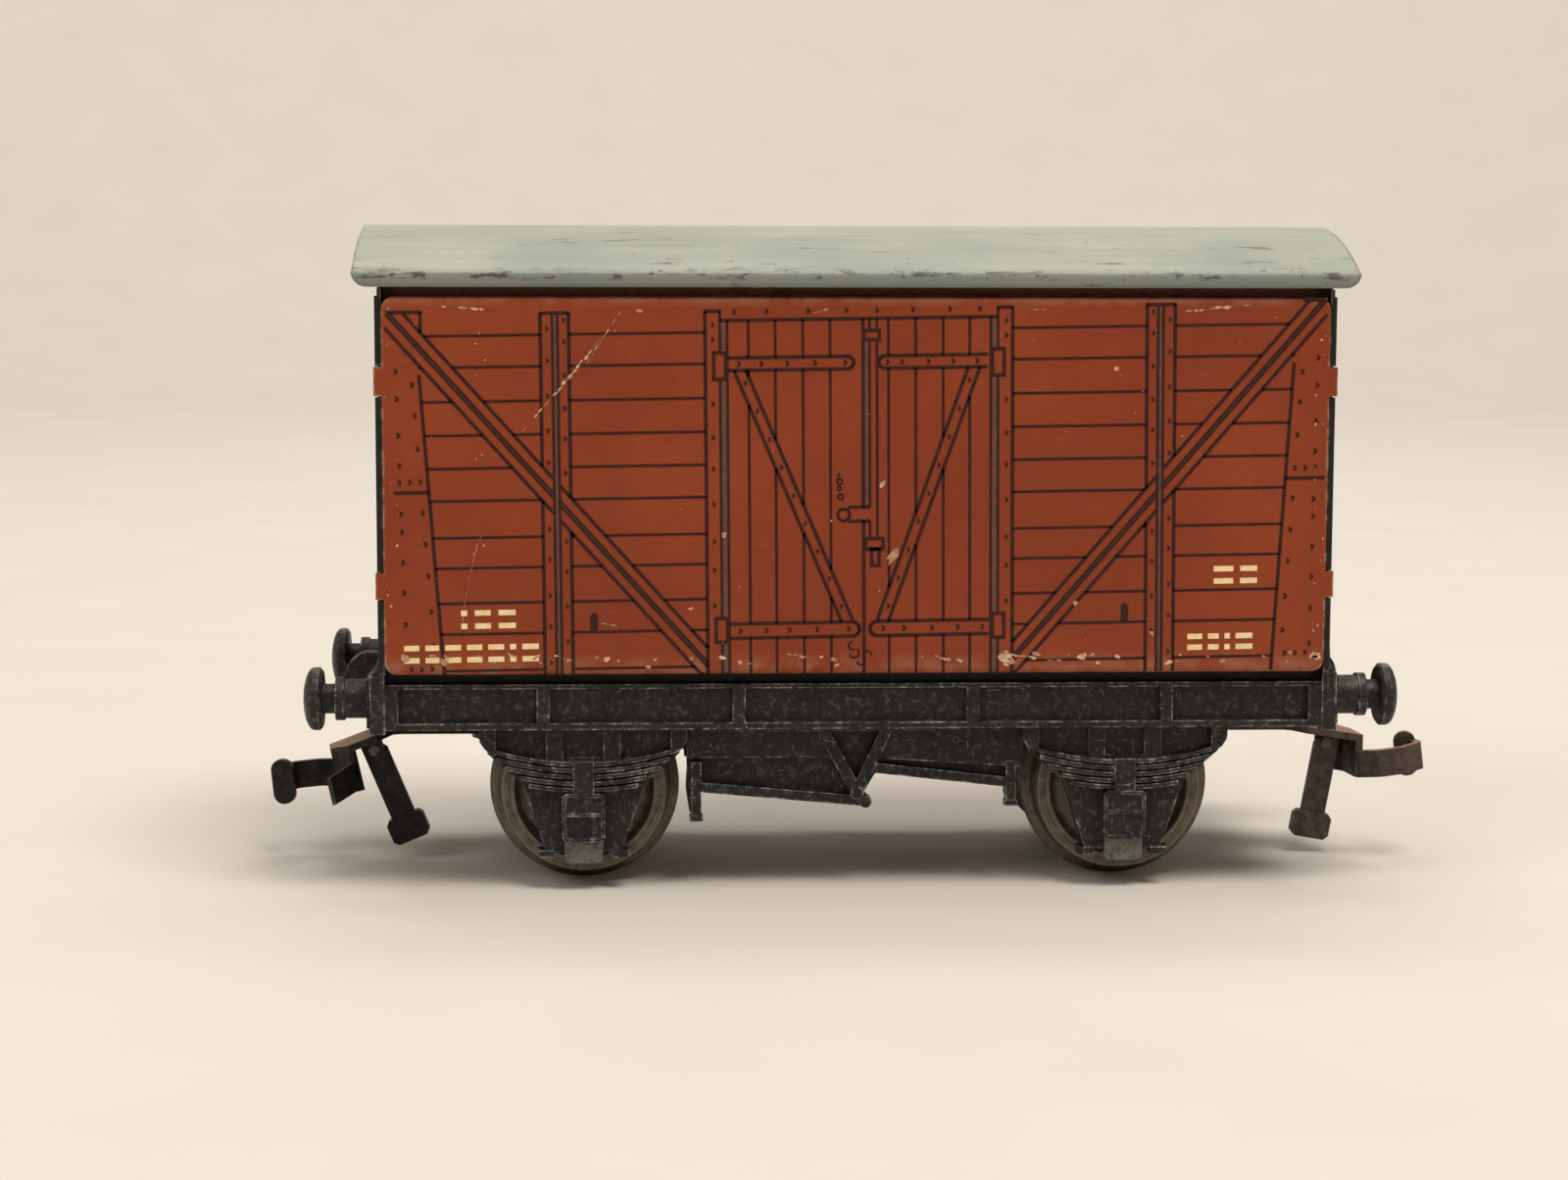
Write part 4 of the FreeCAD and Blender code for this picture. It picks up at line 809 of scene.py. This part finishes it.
def casting_paint():
    """Matt black die casting: speckled and scratched all over, bare grey along its high edges, with
    painted shade in its corners and gaps and a painted shadow under the body."""
    paint = Paint("van_black_casting")
    mottle = paint.noise(2.0, 7.0, 0.74)
    broad = paint.step(paint.noise(0.3, 4.0, 0.6), 0.3, 0.7)
    base = paint.mix(broad, colour(19, 19, 20), colour(34, 33, 33))
    base = paint.mix(paint.step(mottle, 0.54, 0.60, 0.0, 0.55), base, colour(86, 84, 80))
    pits = paint.step(paint.noise(2.7, 6.0, 0.7, 0.6), 0.46, 0.36)
    base = paint.mix(paint.math("MULTIPLY", pits, 0.75), base, colour(12, 11, 11))
    for tilt in ((0.5, 1.0, 2.6), (2.4, 1.0, 0.6)):
        scratches = paint.step(paint.noise(1.5, 5.0, 0.62, 0.8, tilt), 0.66, 0.70)
        base = paint.mix(paint.math("MULTIPLY", scratches, 0.75), base, colour(146, 144, 136))
    open_space = paint.step(paint.open_space(1.4), 0.45, 0.95)
    edge = paint.math("MULTIPLY", paint.edges(0.24, 0.01, 0.14), open_space)
    edge = paint.math("MULTIPLY", edge, paint.step(paint.noise(0.9, 6.0, 0.7), 0.44, 0.54))
    base = paint.mix(paint.math("MULTIPLY", edge, 0.8), base, colour(112, 116, 110))
    bare = paint.math("MULTIPLY", edge, paint.step(mottle, 0.51, 0.57))
    base = paint.mix(bare, base, colour(188, 190, 182))
    axle = axle_place()
    station = paint.math("ABSOLUTE", paint.math("SUBTRACT", paint.math("ABSOLUTE", paint.along()), axle.x))
    keep = paint.math("MULTIPLY", paint.step(station, 1.5, 1.4), paint.step(paint.height(), 3.8, 3.65))
    keep = paint.math("MULTIPLY", keep, paint.step(mottle, 0.34, 0.56, 0.25, 0.9))
    base = paint.mix(keep, base, colour(108, 110, 104))
    lugs = paint.math("MULTIPLY", paint.step(paint.height(), 16.2, 16.5), paint.step(mottle, 0.36, 0.56))
    lugs = paint.math("MULTIPLY", lugs, paint.step(paint.math("ABSOLUTE", paint.along()), 34.6, 34.7))
    base = paint.mix(lugs, base, colour(120, 116, 106))
    dust = paint.step(paint.noise(0.9, 5.0, 0.6), 0.4, 0.7, 0.05, 0.45)
    base = paint.mix(paint.math("MULTIPLY", paint.facing_up(), dust), base, colour(96, 90, 82))
    # Painted shadow: the casting above 15.5 mm, along the body's length where the body overhangs it, is
    # painted near black.
    under = paint.math("MULTIPLY", paint.step(paint.height(), 15.5, 15.65),
                       paint.step(paint.math("ABSOLUTE", paint.along()), 34.4, 34.2))
    base = paint.mix(paint.math("MULTIPLY", under, 0.85), base, colour(7, 6, 6))
    # Painted shade: corners and gaps narrower than 2.4 mm are darkened to near black.
    shadow = paint.step(paint.open_space(2.4), 0.75, 0.25)
    base = paint.mix(paint.math("MULTIPLY", shadow, 0.9), base, colour(6, 5, 5))
    rough = paint.step(mottle, 0.3, 0.7, 0.62, 0.4)
    paint.soften(0.1)
    paint.bump(paint.noise(1.2, 5.0, 0.65), 0.06)
    paint.bump(paint.noise(4.0, 4.0, 0.7), 0.03)
    return paint.finish(base, rough, paint.math("MULTIPLY", bare, 0.5))


def wheel_paint():
    """Dull brown-grey wheel with turning marks, brighter and rustier on its rim."""
    paint = Paint("van_wheel_metal")
    mottle = paint.noise(1.5, 6.0, 0.7)
    axle = axle_place()
    distance = paint.turned(axle.x, axle.z)
    base = paint.mix(paint.step(mottle, 0.35, 0.65), colour(56, 51, 47), colour(104, 95, 85))
    rust = paint.step(paint.noise(0.7, 5.0, 0.65), 0.52, 0.68, 0.0, 0.4)
    base = paint.mix(rust, base, colour(112, 88, 68))
    turning = paint.step(paint.rings(distance, 2.2), 0.4, 0.6)
    base = paint.mix(paint.math("MULTIPLY", turning, 0.6), base, colour(144, 134, 119))
    groove = paint.step(paint.math("ABSOLUTE", paint.math("SUBTRACT", distance, 6.25)), 0.2, 0.05)
    base = paint.mix(paint.math("MULTIPLY", groove, 0.7), base, colour(30, 25, 22))
    edge = paint.math("MULTIPLY", paint.edges(0.2), paint.step(mottle, 0.34, 0.5))
    base = paint.mix(paint.math("MULTIPLY", edge, 0.75), base, colour(156, 144, 124))
    # Painted shade: corners and gaps narrower than 1.4 mm are darkened.
    painted_corner_shade = paint.step(paint.open_space(1.4), 0.85, 0.35)
    base = paint.mix(paint.math("MULTIPLY", painted_corner_shade, 0.8), base, colour(20, 17, 15))
    paint.soften(0.06)
    paint.bump(turning, 0.02)
    paint.bump(mottle, 0.04)
    return paint.finish(base, paint.step(mottle, 0.3, 0.7, 0.62, 0.42), 0.25)


def axle_steel():
    paint = Paint("van_axle_steel")
    mottle = paint.noise(1.6, 5.0, 0.65)
    base = paint.mix(paint.step(mottle, 0.35, 0.7), colour(92, 86, 80), colour(132, 126, 118))
    base = paint.mix(paint.step(mottle, 0.58, 0.68, 0.0, 0.7), base, colour(92, 60, 40))
    paint.bump(mottle, 0.01)
    return paint.finish(base, 0.42, 0.8)


def coupling_paint():
    """Blackened steel strip, with painted shade that darkens it towards the left-hand end, lighter and
    browner towards the right-hand end, rusty where it lies under a headstock, and painted shade in its
    corners.
    """
    paint = Paint("van_blackened_steel")
    mottle = paint.noise(1.6, 6.0, 0.7)
    # Painted shade: both tones run from dark at the left-hand end to lighter and browner at the right-hand
    # end, the left end painted as if in shade.
    dark = paint.mix(paint.step(paint.along(), -10.0, 10.0), colour(13, 11, 10), colour(60, 51, 48))
    light_tone = paint.mix(paint.step(paint.along(), -10.0, 10.0), colour(36, 30, 28), colour(88, 77, 72))
    base = paint.mix(paint.step(mottle, 0.35, 0.7), dark, light_tone)
    rust = paint.step(paint.noise(0.8, 6.0, 0.7, 0.6), 0.56, 0.72)
    base = paint.mix(paint.math("MULTIPLY", rust, 0.4), base, colour(88, 58, 44))
    up = paint.math("MULTIPLY", paint.facing_up(), paint.step(mottle, 0.25, 0.5))
    up = paint.math("MULTIPLY", up, paint.step(paint.height(), 7.2, 8.4))
    base = paint.mix(paint.math("MULTIPLY", up, 0.85), base, colour(158, 116, 88))
    edge = paint.math("MULTIPLY", paint.edges(0.15), paint.step(paint.noise(1.1, 4.0, 0.6), 0.4, 0.6))
    base = paint.mix(paint.math("MULTIPLY", edge, 0.6), base, colour(132, 122, 110))
    # Painted shade: corners and gaps narrower than 1.2 mm are darkened.
    painted_corner_shade = paint.step(paint.open_space(1.2), 0.8, 0.3)
    base = paint.mix(paint.math("MULTIPLY", painted_corner_shade, 0.7), base, colour(10, 8, 7))
    paint.soften(0.06)
    paint.bump(mottle, 0.03)
    return paint.finish(base, paint.step(mottle, 0.3, 0.7, 0.6, 0.42), 0.2)


def rivet_paint():
    paint = Paint("van_rivet_steel")
    mottle = paint.noise(1.8, 5.0, 0.65)
    base = paint.mix(paint.step(mottle, 0.35, 0.7), colour(66, 60, 56), colour(112, 104, 96))
    paint.bump(mottle, 0.01)
    return paint.finish(base, 0.45, 0.6)


def ink_paint(name, dark, light, rough):
    """Printing ink with small breaks in its strength."""
    paint = Paint(name)
    mottle = paint.noise(1.7, 4.0, 0.6)
    base = paint.mix(paint.step(mottle, 0.35, 0.7), dark, light)
    paint.bump(mottle, 0.002)
    return paint.finish(base, paint.step(mottle, 0.3, 0.7, rough - 0.05, rough + 0.1))


def floor_paint():
    paint = Paint("studio_floor")
    mottle = paint.noise(0.05, 3.0, 0.5)
    base = paint.mix(mottle, colour(214, 208, 199), colour(222, 217, 208))
    return paint.finish(base, 0.75)


# ---- Studio ----
def studio_floor():
    """Level floor that sweeps up into a pale wall all round."""
    profile = [(0.35, 0.0), (0.62, 0.0)]
    sweep = 0.35
    for step in range(1, 13):
        turn = math.radians(step * 7.5)
        profile.append((0.62 + sweep * math.sin(turn), sweep * (1 - math.cos(turn))))
    profile.append((0.97, 0.75))
    mesh = bmesh.new()
    around = 96
    rings = []
    turns = [math.tau * step / around for step in range(around)]
    for radius, height in profile:
        rings.append([mesh.verts.new((radius * math.cos(t), radius * math.sin(t), height)) for t in turns])
    middle = mesh.verts.new((0, 0, 0))
    for i in range(around):
        mesh.faces.new((middle, rings[0][i - 1], rings[0][i]))
        for inner, outer in zip(rings, rings[1:]):
            mesh.faces.new((inner[i - 1], outer[i - 1], outer[i], inner[i]))
    for face in mesh.faces:
        face.smooth = True
    data = bpy.data.meshes.new("studio_floor")
    mesh.to_mesh(data)
    mesh.free()
    floor = bpy.data.objects.new("studio_floor", data)
    bpy.context.scene.collection.objects.link(floor)
    floor.data.materials.append(floor_paint())


def light(name, place, target, size, power, tint):
    """Square area light at place, aimed at target. Positions in metres."""
    data = bpy.data.lights.new(name, "AREA")
    data.shape = "SQUARE"
    data.size = size
    data.energy = power
    data.color = tint
    lamp = bpy.data.objects.new(name, data)
    bpy.context.scene.collection.objects.link(lamp)
    lamp.location = place
    lamp.rotation_mode = "QUATERNION"
    lamp.rotation_quaternion = (Vector(target) - Vector(place)).to_track_quat("-Z", "Y")


def camera():
    """Camera at the photograph's viewing angle, a little above the deck and almost square on."""
    place = Vector((-16.66, -244.97, 48.91)) * MM
    yaw, pitch, roll = 0.049, 0.114, 0.0027
    forward = Vector((math.sin(yaw) * math.cos(pitch), math.cos(yaw) * math.cos(pitch), -math.sin(pitch)))
    right = Vector((math.cos(yaw), -math.sin(yaw), 0))
    up = right.cross(forward)
    across = right * math.cos(roll) + up * math.sin(roll)
    upright = up * math.cos(roll) - right * math.sin(roll)
    data = bpy.data.cameras.new("camera")
    data.sensor_width = 36
    data.lens = 73.26
    data.clip_start = 0.01
    data.clip_end = 10
    made = bpy.data.objects.new("camera", data)
    bpy.context.scene.collection.objects.link(made)
    made.matrix_world = Matrix((
        (across.x, upright.x, -forward.x, place.x),
        (across.y, upright.y, -forward.y, place.y),
        (across.z, upright.z, -forward.z, place.z),
        (0, 0, 0, 1)))
    bpy.context.scene.camera = made


def world():
    made = bpy.data.worlds.new("studio")
    made.use_nodes = True
    background = made.node_tree.nodes["Background"]
    background.inputs["Color"].default_value = (1.0, 0.97, 0.93, 1.0)
    background.inputs["Strength"].default_value = 0.12
    bpy.context.scene.world = made


def dress(frame):
    """Gives every CAD node the paint of its material slot."""
    paints = {
        "body_tinplate": tinplate_paint(),
        "roof_tinplate": roof_paint(),
        "casting_black": casting_paint(),
        "wheel_casting": wheel_paint(),
        "axle_steel": axle_steel(),
        "coupling_steel": coupling_paint(),
        "rivet_steel": rivet_paint(),
    }
    # The end panels get the tinplate paint with their rolled rims painted black as shade.
    end_paint_with_rim_shade = tinplate_paint("van_litho_end_rim_shade", painted_shade_rims=True)
    for row in frame["record"]["subparts"]:
        name, slot = row["node"], row["material_slot"]
        piece = frame["nodes"][name]
        piece.data.materials.clear()
        piece.data.materials.append(end_paint_with_rim_shade if name.startswith("body_end") else paints[slot])


def main():
    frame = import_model()
    dress(frame)
    inks = {
        "ink": ink_paint("van_dark_ink", colour(44, 9, 2), colour(60, 16, 6), 0.5),
        "shade": ink_paint("van_grey_ink", colour(92, 58, 48), colour(108, 70, 58), 0.5),
        "cream": ink_paint("van_cream_ink", colour(236, 206, 150), colour(248, 224, 178), 0.45),
        "bare": ink_paint("van_bare_primer", colour(168, 116, 88), colour(222, 190, 156), 0.5),
    }
    for side in ("near", "far"):
        side_print(side, inks)
    for side in ("left", "right"):
        end_print(side, inks)
    studio_floor()
    light("key", (0.18, -0.27, 0.68), (0, 0, 0.02), 0.32, 3.6, (1.0, 0.94, 0.86))
    light("fill", (-0.40, -0.34, 0.48), (0, 0, 0.02), 0.40, 1.1, (1.0, 0.95, 0.90))
    light("top", (0.05, 0.08, 0.72), (0, 0, 0.0), 0.5, 1.5, (1.0, 0.97, 0.93))
    light("wall", (0.0, 0.40, 0.80), (0, 0.92, 0.26), 0.6, 3.6, (1.0, 0.97, 0.94))
    world()
    camera()
    scene = bpy.context.scene
    scene.view_settings.view_transform = "Standard"
    scene.view_settings.look = "None"


main()
